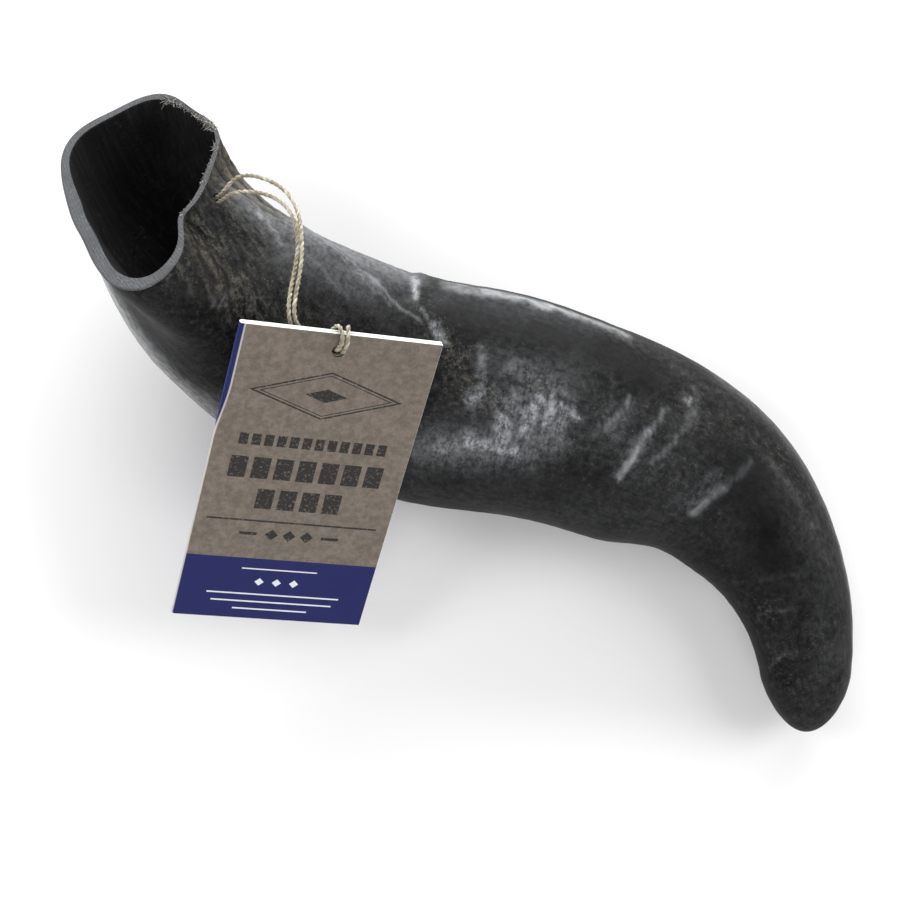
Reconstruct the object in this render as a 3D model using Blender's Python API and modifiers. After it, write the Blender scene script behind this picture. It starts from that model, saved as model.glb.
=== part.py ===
"""A buffalo horn, sawn off at its base and lying on its side, with a folded
card tag on a loop of twine. Units in the tables are millimetres and degrees;
the model itself is in metres, +Z up, and it rests on z = 0.
"""
import math

import bmesh
import bpy
import numpy as np
from mathutils import Euler, Matrix, Vector

MM = 0.001

# --- The horn's centre line, from beyond the saw cut to the tip (mm) ---
# x runs along the horn, y towards its outer curve, z up. The first place lies
# in the part of the horn that was sawn away.
CENTRE_LINE = (
    (-110.0, 101.5, 76.0),
    (-102.0, 85.0, 63.5),
    (-94.5, 74.0, 55.0),
    (-85.5, 64.0, 47.5),
    (-75.5, 54.0, 41.0),
    (-58.0, 40.2, 34.0),
    (-33.5, 27.8, 28.5),
    (-10.3, 20.5, 26.8),
    (22.5, 14.6, 26.2),
    (48.0, 8.0, 25.3),
    (68.5, 0.3, 24.2),
    (86.0, -9.3, 22.2),
    (104.2, -25.0, 19.6),
    (118.0, -48.0, 17.0),
    (123.0, -69.4, 15.2),
    (123.7, -98.0, 13.6),
)
# The horn's width there, from the centre line to its outer and its inner curve,
# and half its depth.
OUTER_WIDTHS = (24.5, 26.0, 29.0, 29.8, 31.6, 34.8, 37.4, 37.7, 38.1, 35.2, 33.8, 31.5, 26.2, 19.9, 16.7, 13.0)
INNER_WIDTHS = (24.5, 26.0, 32.5, 34.9, 34.6, 36.6, 37.0, 38.1, 37.2, 36.4, 34.6, 29.0, 25.9, 20.6, 17.1, 13.0)
HALF_DEPTHS = (41.0, 39.5, 38.0, 36.0, 33.5, 30.0, 27.6, 26.4, 25.9, 24.9, 23.6, 21.6, 19.0, 16.4, 14.9, 12.4)
NOSE_LENGTH = 22.0
# How far either side of a place the line's direction is read from.
TANGENT_STEP = 0.5

# --- The saw cut at the base ---
SAW_POINT = (-101.0, 84.0, 63.0)
SAW_NORMAL = (-0.2, 0.6, 0.77)

# --- The hollow ---
HOLLOW_LENGTH = 215.0
HOLLOW_END_ROUND = 90.0

# --- The hole drilled through the horn's upper wall for the twine ---
DRILLED_PLACE = (-74.8, 80.9, 65.0)
DRILLED_AXIS = (0.665, 0.284, 0.691)
DRILLED_DIAMETER = 4.2
DRILLED_DEPTH = 8.0

# --- The swing tag: a card folded once along its left side ---
TAG_WIDTH = 66.0
TAG_HEIGHT = 116.0
CARD_THICKNESS = 0.9
LEAF_GAP = 0.4
FOLD_STEPS = 6
# Its middle, and its turns about X, Y and Z. Its own frame has X to the right,
# Y up the card and Z out of its front leaf.
TAG_CENTRE = (-48.3, -10.3, 54.6)
TAG_TURNS = (33.7, 18.6, -5.4)
PUNCHED_X = 0.0
PUNCHED_Y = 51.6
PUNCHED_DIAMETER = 4.4
PUNCH_DEPTH = 10.0
PUNCHED_SIDES = 20

# --- The twine: one piece, doubled from its knot in the hollow to the tag ---
TWINE_DIAMETER = 1.4
# In the drilled hole the two strands lie this far either side of its axis, in
# this direction, and pass these heights above the horn's skin.
STRAND_OFFSET = 0.9
STRANDS_APART = (-0.262, 0.957, -0.142)
HOLE_HEIGHTS = (-2.35, 1.5)
# The strand from the hole to the tag, and the one back.
STRAND_OUT = (
    (-70.0, 82.0, 69.5),
    (-61.0, 82.0, 72.5),
    (-51.5, 76.5, 77.0),
    (-47.9, 66.0, 81.5),
    (-48.9, 54.5, 85.0),
)
STRAND_BACK = (
    (-46.9, 55.0, 86.3),
    (-46.5, 67.0, 83.4),
    (-49.8, 79.0, 79.0),
    (-58.5, 86.0, 74.5),
    (-68.0, 87.0, 71.0),
)
# The hitch, in the tag's own frame: behind the card, out through the hole, over
# the top edge, round both strands, and the same way back.
HITCH_ROUTE = (
    (-16.6, 58.3, -3.4),
    (-14.3, 54.6, -3.1),
    (-9.0, 52.5, -4.7),
    (-3.3, 52.5, -5.8),
    (-1.1, 52.7, -3.2),
    (-0.8, 51.8, -0.8),
    (-0.8, 52.6, 2.0),
    (-0.4, 56.6, 3.3),
    (-0.9, 59.4, 1.2),
    (-1.6, 59.2, -1.5),
    (-2.8, 55.6, -3.3),
    (-3.5, 51.9, -3.5),
    (-1.6, 49.4, -4.9),
    (1.6, 49.4, -4.9),
    (3.5, 51.9, -3.5),
    (2.8, 55.6, -3.2),
    (1.8, 59.3, -1.5),
    (1.3, 59.6, 1.2),
    (1.3, 56.6, 3.6),
    (1.0, 52.4, 2.4),
    (1.0, 51.8, -0.7),
    (0.9, 53.4, -3.0),
    (-1.0, 54.4, -4.8),
    (-3.8, 54.3, -5.3),
    (-9.0, 54.3, -4.2),
    (-14.0, 57.4, -2.7),
)
ROUTE_STEPS = 2

# --- The stopper knot, across, across and along the drilled hole ---
KNOT_SIZE = (6.4, 5.6, 5.4)
KNOT_DEPTH = 5.6

# --- Where the horn's frame stands, so the whole rests on z = 0 about the origin ---
RESTING_PLACE = (-5.21, -11.16, 0.46)

# --- Finishes: base colours, linear ---
HORN_COLOUR = (0.035, 0.036, 0.038)
TWINE_COLOUR = (0.62, 0.5, 0.33)
CARD_COLOUR = (0.22, 0.185, 0.155)
HORN_ROUGHNESS = 0.45
TWINE_ROUGHNESS = 0.9
CARD_ROUGHNESS = 0.8
SHARP_ANGLE = 40.0

# --- Mesh density ---
HORN_SIDES = 48
OUTER_ROWS = 60
INNER_ROWS = 16
# Below 1 the rows crowd together less towards the tip.
ROW_CROWDING = 0.93
DRILLED_SIDES = 20
KNOT_SIDES = 14
KNOT_ROWS = 9


def spline(knots, values, places):
    """Natural cubic spline through the values at the knots, read at the places."""
    knots = np.asarray(knots, float)
    values = np.asarray(values, float)
    flat = values.reshape(len(knots), -1)
    gaps = np.diff(knots)
    slopes = np.diff(flat, axis=0) / gaps[:, None]
    system = np.eye(len(knots))
    right = np.zeros_like(flat)
    for k in range(1, len(knots) - 1):
        system[k, k - 1:k + 2] = gaps[k - 1], 2 * (gaps[k - 1] + gaps[k]), gaps[k]
        right[k] = 6 * (slopes[k] - slopes[k - 1])
    bends = np.linalg.solve(system, right)
    places = np.clip(np.asarray(places, float), knots[0], knots[-1])
    k = np.clip(np.searchsorted(knots, places, side="right") - 1, 0, len(gaps) - 1)
    gap = gaps[k][..., None]
    after = (places - knots[k])[..., None]
    before = gap - after
    read = (bends[k] * before ** 3 + bends[k + 1] * after ** 3) / (6 * gap)
    read = read + (flat[k] / gap - bends[k] * gap / 6) * before
    read = read + (flat[k + 1] / gap - bends[k + 1] * gap / 6) * after
    return read.reshape(places.shape + values.shape[1:])


def chord_lengths(points):
    """How far along the chain of points each point is."""
    steps = np.linalg.norm(np.diff(np.asarray(points, float), axis=0), axis=1)
    return np.concatenate(([0.0], np.cumsum(steps)))


ALONG = chord_lengths(CENTRE_LINE)
HORN_LENGTH = ALONG[-1]
MOUTH_ALONG = ALONG[1]


def bump(value, centre, width):
    """A smooth hill, 1 at the centre."""
    return np.exp(-0.5 * ((value - centre) / width) ** 2)


def turn(angle, centre):
    """Angle from the centre, between -180 and 180 degrees."""
    return (angle - centre + 180.0) % 360.0 - 180.0


def horn_frame(along):
    """Centre, tangent, outward (width) and upward (depth) directions."""
    centre = spline(ALONG, CENTRE_LINE, along)
    ahead = spline(ALONG, CENTRE_LINE, np.minimum(along + TANGENT_STEP, HORN_LENGTH))
    behind = spline(ALONG, CENTRE_LINE, np.maximum(along - TANGENT_STEP, 0.0))
    tangent = ahead - behind
    tangent /= np.linalg.norm(tangent, axis=-1, keepdims=True)
    across = np.cross((0.0, 0.0, 1.0), tangent)
    across /= np.linalg.norm(across, axis=-1, keepdims=True)
    upward = np.cross(tangent, across)
    return centre, across, upward


# The outer outline of the sawn mouth: its radius (mm) at angles round the
# centre line. 0 is the horn's outer side, 90 its upper side.
MOUTH_ANGLES = (
    0, 20, 45, 65, 75, 85, 98, 110, 120, 130, 140, 152,
    165, 180, 196, 212, 228, 240, 255, 275, 297, 315, 337, 350,
)
MOUTH_RADII = (
    28.0, 23.5, 21.5, 22.0, 25.0, 31.5, 39.0, 43.3, 41.3, 35.2, 29.6, 25.3,
    23.3, 22.6, 23.1, 25.5, 30.4, 35.4, 39.3, 41.0, 44.5, 39.0, 35.5, 31.8,
)
# The saw crosses the horn aslant: the rim's middle lies this far along the
# centre line, and its upper side this much further. Below the rim the mouth's
# outline gives way to the body's oval over MOUTH_FADE.
RIM_ALONG = 24.0
RIM_SLANT = 12.5
RIM_SLANT_ANGLE = 95.0
MOUTH_FADE = 50.0
# The wall's thickness round the mouth. At the hollow's end that share of it is
# left, and the solid horn that grows in towards the tip is added, as a power of
# the depth.
WALL_ANGLES = (0, 40, 65, 80, 95, 112, 128, 150, 180, 220, 250, 275, 300, 320, 345)
WALL_AT_MOUTH = (2.1, 1.8, 1.8, 2.9, 3.6, 5.2, 6.9, 5.4, 4.8, 4.7, 3.7, 3.2, 3.0, 1.9, 1.9)
WALL_LEFT_AT_END = 0.5
WALL_GROWTH = 6.5
WALL_GROWTH_POWER = 1.3
# The saw crosses the skins nowhere further along than this past the mouth.
SAW_SEARCH = 60.0
SAW_HALVINGS = 40

# Long edges of the horn: where each runs (mm along: degrees round), how far it
# stands out as a share of the radius, and how wide it is in degrees.
OUTER_EDGE = ((0, 0), (40, 8), (75, 30), (110, 42), (160, 47), (230, 55), (280, 48), (340, 42))
OUTER_EDGE_RISE = ((0, 0.0), (40, 0.03), (75, 0.07), (160, 0.06), (240, 0.03), (340, 0.03))
INNER_EDGE = ((0, 110), (60, 118), (120, 130), (200, 137), (300, 138), (340, 138))
INNER_EDGE_RISE = ((0, 0.0), (60, 0.03), (100, 0.04), (160, 0.045), (250, 0.035), (340, 0.01))
LOWER_EDGE = ((0, 235), (80, 245), (160, 265), (340, 270))
LOWER_EDGE_RISE = ((0, 0.0), (80, 0.05), (160, 0.03), (340, 0.0))
EDGE_WIDTH = 17.0

# The shoulder that the inner curve swells to behind the rim.
SHOULDER_ALONG = 42.0
SHOULDER_LENGTH = 7.0
SHOULDER_ANGLE = 178.0
SHOULDER_REACH = 22.0
SHOULDER_HEIGHT = 1.5

# Growth rings across the horn's upper side: the ring's place and angle at its
# two ends, how high it stands and its half width. It dies away towards both ends
# over RING_SPREAD of its length.
GROWTH_RINGS = (
    (210.0, 59.0, 207.0, 98.0, 0.5, 2.6),
    (222.0, 57.0, 217.0, 124.0, 0.8, 3.0),
    (232.0, 55.0, 227.0, 99.0, 0.5, 2.6),
    (255.0, 58.0, 247.0, 126.0, 0.8, 3.4),
)
RING_SPREAD = 0.35
# The ledge where the ringed base gives way to the smoother body: its place, the
# angle of its middle, its reach in degrees, its height, and how it starts and ends.
LEDGE_ALONG = 131.0
LEDGE_ANGLE = 22.0
LEDGE_REACH = 24.0
LEDGE_HEIGHT = 1.3
LEDGE_STEEPNESS = 2.5
LEDGE_FADE = 55.0
# The broad groove that runs down from the dent in the rim.
GROOVE = ((30.0, 66.0), (55.0, 84.0), (90.0, 102.0))
GROOVE_DEPTH = 0.9
GROOVE_WIDTH = 8.0
GROOVE_LEAD_IN = 8.0


def track(table, along):
    """Reads a table of (along, value) pairs smoothly."""
    table = np.asarray(table, float)
    return spline(table[:, 0], table[:, 1], along)


def round_spline(angles, values, angle):
    """Reads values that run once round the horn, without a step at 360 degrees."""
    angles = np.asarray(angles, float)
    angles = np.concatenate((angles[-3:] - 360.0, angles, angles[:3] + 360.0))
    values = np.concatenate((values[-3:], values, values[:3]))
    return spline(angles, values, np.asarray(angle, float) % 360.0)


def fade(value, start, end):
    """1 before the start, 0 after the end, smooth between."""
    share = np.clip((value - start) / (end - start), 0.0, 1.0)
    return 1.0 - share * share * (3.0 - 2.0 * share)


def relief(along, angle):
    """How far the growth rings, the ledge, the shoulder and the groove stand off the skin."""
    height = 0.0
    for start, start_angle, end, end_angle, rise, width in GROWTH_RINGS:
        share = turn(angle, start_angle) / (end_angle - start_angle)
        ring = start + (end - start) * share
        height = height + rise * bump(along, ring, width) * bump(share, 0.5, RING_SPREAD)
    past = along - LEDGE_ALONG
    rise = (1.0 - fade(past, -LEDGE_STEEPNESS, LEDGE_STEEPNESS)) * fade(past, LEDGE_STEEPNESS, LEDGE_FADE)
    height = height + LEDGE_HEIGHT * rise * bump(turn(angle, LEDGE_ANGLE), 0.0, LEDGE_REACH)
    shoulder = bump(along, SHOULDER_ALONG, SHOULDER_LENGTH) * bump(turn(angle, SHOULDER_ANGLE), 0.0, SHOULDER_REACH)
    height = height + SHOULDER_HEIGHT * shoulder
    reach = 1.0 - fade(along, GROOVE[0][0] - GROOVE_LEAD_IN, GROOVE[0][0])
    reach = reach * fade(along, GROOVE[1][0], GROOVE[2][0])
    return height - GROOVE_DEPTH * reach * bump(turn(angle, track(GROOVE, along)), 0.0, GROOVE_WIDTH)


def outer_radius(along, angle):
    """Distance from the centre line to the horn's outer skin, without the nose."""
    across, upward = np.cos(np.radians(angle)), np.sin(np.radians(angle))
    outer_width = spline(ALONG, OUTER_WIDTHS, along)
    half_width = np.where(across > 0.0, outer_width, spline(ALONG, INNER_WIDTHS, along))
    half_depth = spline(ALONG, HALF_DEPTHS, along)
    body = 1.0 / np.sqrt((across / half_width) ** 2 + (upward / half_depth) ** 2)
    for edge, rise in (
        (OUTER_EDGE, OUTER_EDGE_RISE),
        (INNER_EDGE, INNER_EDGE_RISE),
        (LOWER_EDGE, LOWER_EDGE_RISE),
    ):
        body = body * (1.0 + track(rise, along) * bump(turn(angle, track(edge, along)), 0.0, EDGE_WIDTH))
    mouth = round_spline(MOUTH_ANGLES, MOUTH_RADII, angle)
    rim = RIM_ALONG + RIM_SLANT * np.cos(np.radians(angle - RIM_SLANT_ANGLE))
    share = fade(along - rim, 0.0, MOUTH_FADE)
    return mouth * share + body * (1.0 - share) + relief(along, angle)


def nose(along):
    """Shrinks the sections to nothing over the rounded tip."""
    past = np.clip((along - (HORN_LENGTH - NOSE_LENGTH)) / NOSE_LENGTH, 0.0, 1.0)
    return np.sqrt(1.0 - past ** 2)


def wall(along, angle):
    """Thickness of the horn's wall, which grows towards the tip."""
    deep = np.clip((along - MOUTH_ALONG) / HOLLOW_LENGTH, 0.0, 1.0)
    left = 1.0 + (WALL_LEFT_AT_END - 1.0) * deep
    return round_spline(WALL_ANGLES, WALL_AT_MOUTH, angle) * left + WALL_GROWTH * deep ** WALL_GROWTH_POWER


def horn_points(along, angle, inner=False):
    """Points of the outer or the inner skin, one for each place and angle."""
    centre, across, upward = horn_frame(along)
    radius = outer_radius(along, angle) * nose(along)
    if inner:
        past = (along - MOUTH_ALONG - HOLLOW_LENGTH + HOLLOW_END_ROUND) / HOLLOW_END_ROUND
        radius = (radius - wall(along, angle)) * np.sqrt(1.0 - np.clip(past, 0.0, 1.0) ** 2)
    width = (radius * np.cos(np.radians(angle)))[..., None]
    depth = (radius * np.sin(np.radians(angle)))[..., None]
    return centre + across * width + upward * depth


def saw_cut(angle, inner=False):
    """How far along the horn the saw's plane crosses its skin at each angle."""
    normal = np.asarray(SAW_NORMAL) / np.linalg.norm(SAW_NORMAL)
    low = np.zeros_like(angle)
    high = np.full_like(angle, MOUTH_ALONG + SAW_SEARCH)
    for _ in range(SAW_HALVINGS):
        middle = (low + high) / 2
        side = (horn_points(middle, angle, inner) - SAW_POINT) @ normal
        outside = side > 0
        low = np.where(outside, middle, low)
        high = np.where(outside, high, middle)
    return (low + high) / 2


def skin(rows, end, inner=False):
    """Rows of points from the saw cut to the end, closer together at the end."""
    angle = np.arange(HORN_SIDES) * 360.0 / HORN_SIDES
    start = saw_cut(angle, inner)
    grid = []
    for row in range(rows):
        share = math.sin(row / rows * math.pi / 2) ** ROW_CROWDING
        along = start + (end - start) * share
        grid.append(horn_points(along, angle, inner))
    return np.array(grid)


def new_material(name, colour, roughness):
    """A plain finish: base colour (linear), roughness, and no metal."""
    material = bpy.data.materials.new(name)
    material.use_nodes = True
    shader = material.node_tree.nodes["Principled BSDF"]
    shader.inputs["Base Color"].default_value = (*colour, 1.0)
    shader.inputs["Roughness"].default_value = roughness
    shader.inputs["Metallic"].default_value = 0.0
    return material


def smooth_shading(mesh):
    mesh.shade_smooth()
    mesh.set_sharp_from_angle(angle=math.radians(SHARP_ANGLE))


def place(thing, collection, parent):
    collection.objects.link(thing)
    thing.parent = parent


def horn_mesh():
    """The outer and the inner skin, joined by the flat sawn rim."""
    outer = skin(OUTER_ROWS, HORN_LENGTH)
    inner = skin(INNER_ROWS, MOUTH_ALONG + HOLLOW_LENGTH, inner=True)
    tip, pit = spline(ALONG, CENTRE_LINE, np.array([HORN_LENGTH, MOUTH_ALONG + HOLLOW_LENGTH]))
    points = [*outer.reshape(-1, 3), *inner.reshape(-1, 3), tip, pit]
    faces = []
    first_inner = OUTER_ROWS * HORN_SIDES
    for side in range(HORN_SIDES):
        near, far = side, (side + 1) % HORN_SIDES
        for row in range(OUTER_ROWS - 1):
            a = row * HORN_SIDES
            faces.append((a + near, a + far, a + HORN_SIDES + far, a + HORN_SIDES + near))
        for row in range(INNER_ROWS - 1):
            a = first_inner + row * HORN_SIDES
            faces.append((a + far, a + near, a + HORN_SIDES + near, a + HORN_SIDES + far))
        faces.append((far, near, first_inner + near, first_inner + far))
        last = (OUTER_ROWS - 1) * HORN_SIDES
        faces.append((last + near, last + far, len(points) - 2))
        last = first_inner + (INNER_ROWS - 1) * HORN_SIDES
        faces.append((last + far, last + near, len(points) - 1))
    mesh = bpy.data.meshes.new("horn")
    mesh.from_pydata([tuple(p * MM) for p in points], [], faces)
    bm = bmesh.new()
    bm.from_mesh(mesh)
    bmesh.ops.recalc_face_normals(bm, faces=bm.faces)
    bm.to_mesh(mesh)
    bm.free()
    return mesh


def new_cutter(name, diameter, depth, sides, cutters):
    """A cylinder along its own Z, centred on its own origin."""
    mesh = bpy.data.meshes.new(name)
    bm = bmesh.new()
    bmesh.ops.create_cone(
        bm, cap_ends=True, segments=sides,
        radius1=diameter / 2 * MM, radius2=diameter / 2 * MM, depth=depth * MM,
    )
    bm.to_mesh(mesh)
    bm.free()
    cutter = bpy.data.objects.new(name, mesh)
    cutter.hide_render = True
    cutter.display_type = "WIRE"
    cutters.objects.link(cutter)
    return cutter


def cut(thing, cutter):
    modifier = thing.modifiers.new(cutter.name, "BOOLEAN")
    modifier.operation = "DIFFERENCE"
    modifier.solver = "EXACT"
    modifier.object = cutter


def build_horn(parts, cutters, root):
    mesh = horn_mesh()
    smooth_shading(mesh)
    horn = bpy.data.objects.new("horn", mesh)
    mesh.materials.append(new_material("horn", HORN_COLOUR, HORN_ROUGHNESS))
    place(horn, parts, root)
    drill = new_cutter("horn_drill", DRILLED_DIAMETER, DRILLED_DEPTH, DRILLED_SIDES, cutters)
    drill.parent = root
    drill.location = Vector(DRILLED_PLACE) * MM
    drill.rotation_euler = Vector(DRILLED_AXIS).to_track_quat("Z", "Y").to_euler()
    cut(horn, drill)
    return horn


def build_tag(parts, cutters, root):
    """One card folded once along its left side, open along its right side."""
    fold = (CARD_THICKNESS + LEAF_GAP) / 2
    right = TAG_WIDTH / 2
    left = -TAG_WIDTH / 2 + fold + CARD_THICKNESS / 2
    middle = [(right, -fold)]
    for step in range(FOLD_STEPS + 1):
        angle = math.pi * step / FOLD_STEPS
        middle.append((left - fold * math.sin(angle), -fold * math.cos(angle)))
    middle.append((right, fold))
    mesh = bpy.data.meshes.new("tag")
    bm = bmesh.new()
    bottom = [bm.verts.new((x * MM, -TAG_HEIGHT / 2 * MM, z * MM)) for x, z in middle]
    edges = [bm.edges.new(pair) for pair in zip(bottom, bottom[1:])]
    grown = bmesh.ops.extrude_edge_only(bm, edges=edges)["geom"]
    top = [piece for piece in grown if isinstance(piece, bmesh.types.BMVert)]
    bmesh.ops.translate(bm, verts=top, vec=(0.0, TAG_HEIGHT * MM, 0.0))
    bmesh.ops.recalc_face_normals(bm, faces=bm.faces)
    bm.to_mesh(mesh)
    bm.free()
    smooth_shading(mesh)
    mesh.materials.append(new_material("card", CARD_COLOUR, CARD_ROUGHNESS))
    tag = bpy.data.objects.new("tag", mesh)
    place(tag, parts, root)
    tag.location = Vector(TAG_CENTRE) * MM
    tag.rotation_euler = [math.radians(angle) for angle in TAG_TURNS]
    card = tag.modifiers.new("card", "SOLIDIFY")
    card.thickness = CARD_THICKNESS * MM
    card.offset = 0.0
    card.use_even_offset = True
    punch = new_cutter("tag_punch", PUNCHED_DIAMETER, PUNCH_DEPTH, PUNCHED_SIDES, cutters)
    punch.parent = tag
    punch.location = (PUNCHED_X * MM, PUNCHED_Y * MM, 0.0)
    cut(tag, punch)
    return tag


def twine_route():
    """The twine's route in the horn's frame, from its knot round to its knot."""
    axis = Vector(DRILLED_AXIS).normalized()
    apart = Vector(STRANDS_APART).normalized()
    hole = Vector(DRILLED_PLACE)
    way_out = [hole + apart * -STRAND_OFFSET + axis * height for height in HOLE_HEIGHTS]
    way_in = [hole + apart * STRAND_OFFSET + axis * height for height in reversed(HOLE_HEIGHTS)]
    tag = Matrix.LocRotScale(Vector(TAG_CENTRE), Euler([math.radians(a) for a in TAG_TURNS]), None)
    hitch = [tag @ Vector(point) for point in HITCH_ROUTE]
    strand_out = [Vector(point) for point in STRAND_OUT]
    strand_back = [Vector(point) for point in STRAND_BACK]
    return way_out + strand_out + hitch + strand_back + way_in


def build_twine(parts, root):
    route = np.array(twine_route())
    along = chord_lengths(route)
    places = [
        start + (end - start) * step / ROUTE_STEPS
        for start, end in zip(along, along[1:])
        for step in range(ROUTE_STEPS)
    ]
    points = spline(along, route, [*places, along[-1]])
    curve = bpy.data.curves.new("twine", "CURVE")
    curve.dimensions = "3D"
    curve.bevel_depth = TWINE_DIAMETER / 2 * MM
    curve.bevel_resolution = 2
    curve.use_fill_caps = True
    path = curve.splines.new("POLY")
    path.points.add(len(points) - 1)
    for knot, point in zip(path.points, points):
        knot.co = (*(point * MM), 1.0)
    curve.materials.append(bpy.data.materials["twine"])
    twine = bpy.data.objects.new("twine", curve)
    place(twine, parts, root)
    return twine


def build_knot(parts, root):
    """The stopper knot, a little flattened against the hollow's wall."""
    mesh = bpy.data.meshes.new("twine_knot")
    bm = bmesh.new()
    bmesh.ops.create_uvsphere(bm, u_segments=KNOT_SIDES, v_segments=KNOT_ROWS, radius=0.5 * MM)
    bmesh.ops.scale(bm, vec=KNOT_SIZE, verts=bm.verts)
    bm.to_mesh(mesh)
    bm.free()
    mesh.shade_smooth()
    mesh.materials.append(bpy.data.materials["twine"])
    knot = bpy.data.objects.new("twine_knot", mesh)
    place(knot, parts, root)
    axis = Vector(DRILLED_AXIS).normalized()
    knot.location = (Vector(DRILLED_PLACE) - axis * KNOT_DEPTH) * MM
    knot.rotation_euler = axis.to_track_quat("Z", "Y").to_euler()
    return knot


def main():
    for old in list(bpy.data.objects):
        bpy.data.objects.remove(old, do_unlink=True)
    parts = bpy.data.collections.new("buffalo_horn")
    cutters = bpy.data.collections.new("cutters")
    bpy.context.scene.collection.children.link(parts)
    bpy.context.scene.collection.children.link(cutters)
    root = bpy.data.objects.new("resting_place", None)
    root.location = Vector(RESTING_PLACE) * MM
    parts.objects.link(root)
    new_material("twine", TWINE_COLOUR, TWINE_ROUGHNESS)
    build_horn(parts, cutters, root)
    build_tag(parts, cutters, root)
    build_twine(parts, root)
    build_knot(parts, root)
    bpy.context.view_layer.update()


main()
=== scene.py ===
"""A buffalo horn, sawn off at its base and lying on its side, with a folded card
tag on a loop of jute twine: the finished look of each piece.

The tables are in millimetres and degrees, in the horn's own frame, and
RESTING_PLACE carries them to the place where the horn lies. What the operators
make is in metres, +Z up, on the floor z = 0.
"""

import math

import bmesh
import bpy
import numpy as np
from bpy.props import FloatProperty, FloatVectorProperty, IntProperty, PointerProperty
from mathutils import Euler, Matrix, Vector, noise
from mathutils.kdtree import KDTree


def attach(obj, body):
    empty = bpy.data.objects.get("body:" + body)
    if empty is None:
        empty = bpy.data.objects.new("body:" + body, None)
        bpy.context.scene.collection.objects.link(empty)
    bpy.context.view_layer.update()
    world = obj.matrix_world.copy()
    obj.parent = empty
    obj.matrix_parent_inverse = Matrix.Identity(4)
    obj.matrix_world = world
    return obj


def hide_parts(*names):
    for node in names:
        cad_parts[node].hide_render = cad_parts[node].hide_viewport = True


bl_info = {
    "name": "Buffalo Horn",
    "version": (1, 0, 0),
    "blender": (4, 5, 0),
    "location": "3D View > Sidebar > Horn",
    "description": "Models a sawn buffalo horn with its twine and its folded card tag",
    "category": "Object",
}

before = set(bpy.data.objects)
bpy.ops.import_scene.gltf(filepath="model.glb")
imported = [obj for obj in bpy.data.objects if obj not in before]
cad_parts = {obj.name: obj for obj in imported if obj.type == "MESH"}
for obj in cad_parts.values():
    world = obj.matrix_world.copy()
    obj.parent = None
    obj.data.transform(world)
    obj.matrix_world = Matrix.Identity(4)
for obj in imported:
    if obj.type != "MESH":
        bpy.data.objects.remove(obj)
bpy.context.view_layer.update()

MM = 0.001
RESTING_PLACE = (-5.21, -11.16, 0.46)

# --- The horn's centre line, from beyond the saw cut to the tip, and its widths ---
CENTRE_LINE = (
    (-110.0, 101.5, 76.0),
    (-102.0, 85.0, 63.5),
    (-94.5, 74.0, 55.0),
    (-85.5, 64.0, 47.5),
    (-75.5, 54.0, 41.0),
    (-58.0, 40.2, 34.0),
    (-33.5, 27.8, 28.5),
    (-10.3, 20.5, 26.8),
    (22.5, 14.6, 26.2),
    (48.0, 8.0, 25.3),
    (68.5, 0.3, 24.2),
    (86.0, -9.3, 22.2),
    (104.2, -25.0, 19.6),
    (118.0, -48.0, 17.0),
    (123.0, -69.4, 15.2),
    (123.7, -98.0, 13.6),
)
OUTER_WIDTHS = (
    24.5, 26.0, 29.0, 29.8, 31.6, 34.8, 37.4, 37.7, 38.1, 35.2, 33.8, 31.5, 26.2, 19.9, 16.7, 13.0,
)
INNER_WIDTHS = (
    24.5, 26.0, 32.5, 34.9, 34.6, 36.6, 37.0, 38.1, 37.2, 36.4, 34.6, 29.0, 25.9, 20.6, 17.1, 13.0,
)
HALF_DEPTHS = (
    41.0, 39.5, 38.0, 36.0, 33.5, 30.0, 27.6, 26.4, 25.9, 24.9, 23.6, 21.6, 19.0, 16.4, 14.9, 12.4,
)
NOSE_LENGTH = 22.0
TANGENT_STEP = 0.5

SAW_POINT = (-101.0, 84.0, 63.0)
SAW_NORMAL = (-0.2, 0.6, 0.77)
SAW_SEARCH = 60.0
SAW_HALVINGS = 40

HOLLOW_LENGTH = 215.0
HOLLOW_END_ROUND = 90.0

DRILLED_PLACE = (-74.8, 80.9, 65.0)
DRILLED_AXIS = (0.665, 0.284, 0.691)
DRILLED_DIAMETER = 4.2
DRILLED_DEPTH = 8.0
DRILLED_SIDES = 32

# The outline of the sawn mouth. 0 degrees is the horn's outer side, 90 its upper.
MOUTH_ANGLES = (
    0, 20, 45, 65, 75, 85, 98, 110, 120, 130, 140, 152,
    165, 180, 196, 212, 228, 240, 255, 275, 297, 315, 337, 350,
)
MOUTH_RADII = (
    28.0, 23.5, 21.5, 22.0, 25.0, 31.5, 39.0, 43.3, 41.3, 35.2, 29.6, 25.3,
    23.3, 22.6, 23.1, 25.5, 30.4, 35.4, 39.3, 41.0, 44.5, 39.0, 35.5, 31.8,
)
RIM_ALONG = 24.0
RIM_SLANT = 12.5
RIM_SLANT_ANGLE = 95.0
MOUTH_FADE = 50.0
WALL_ANGLES = (0, 40, 65, 80, 95, 112, 128, 150, 180, 220, 250, 275, 300, 320, 345)
WALL_AT_MOUTH = (2.1, 1.8, 1.8, 2.9, 3.6, 5.2, 6.9, 5.4, 4.8, 4.7, 3.7, 3.2, 3.0, 1.9, 1.9)
WALL_LEFT_AT_END = 0.5
WALL_GROWTH = 6.5
WALL_GROWTH_POWER = 1.3

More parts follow.
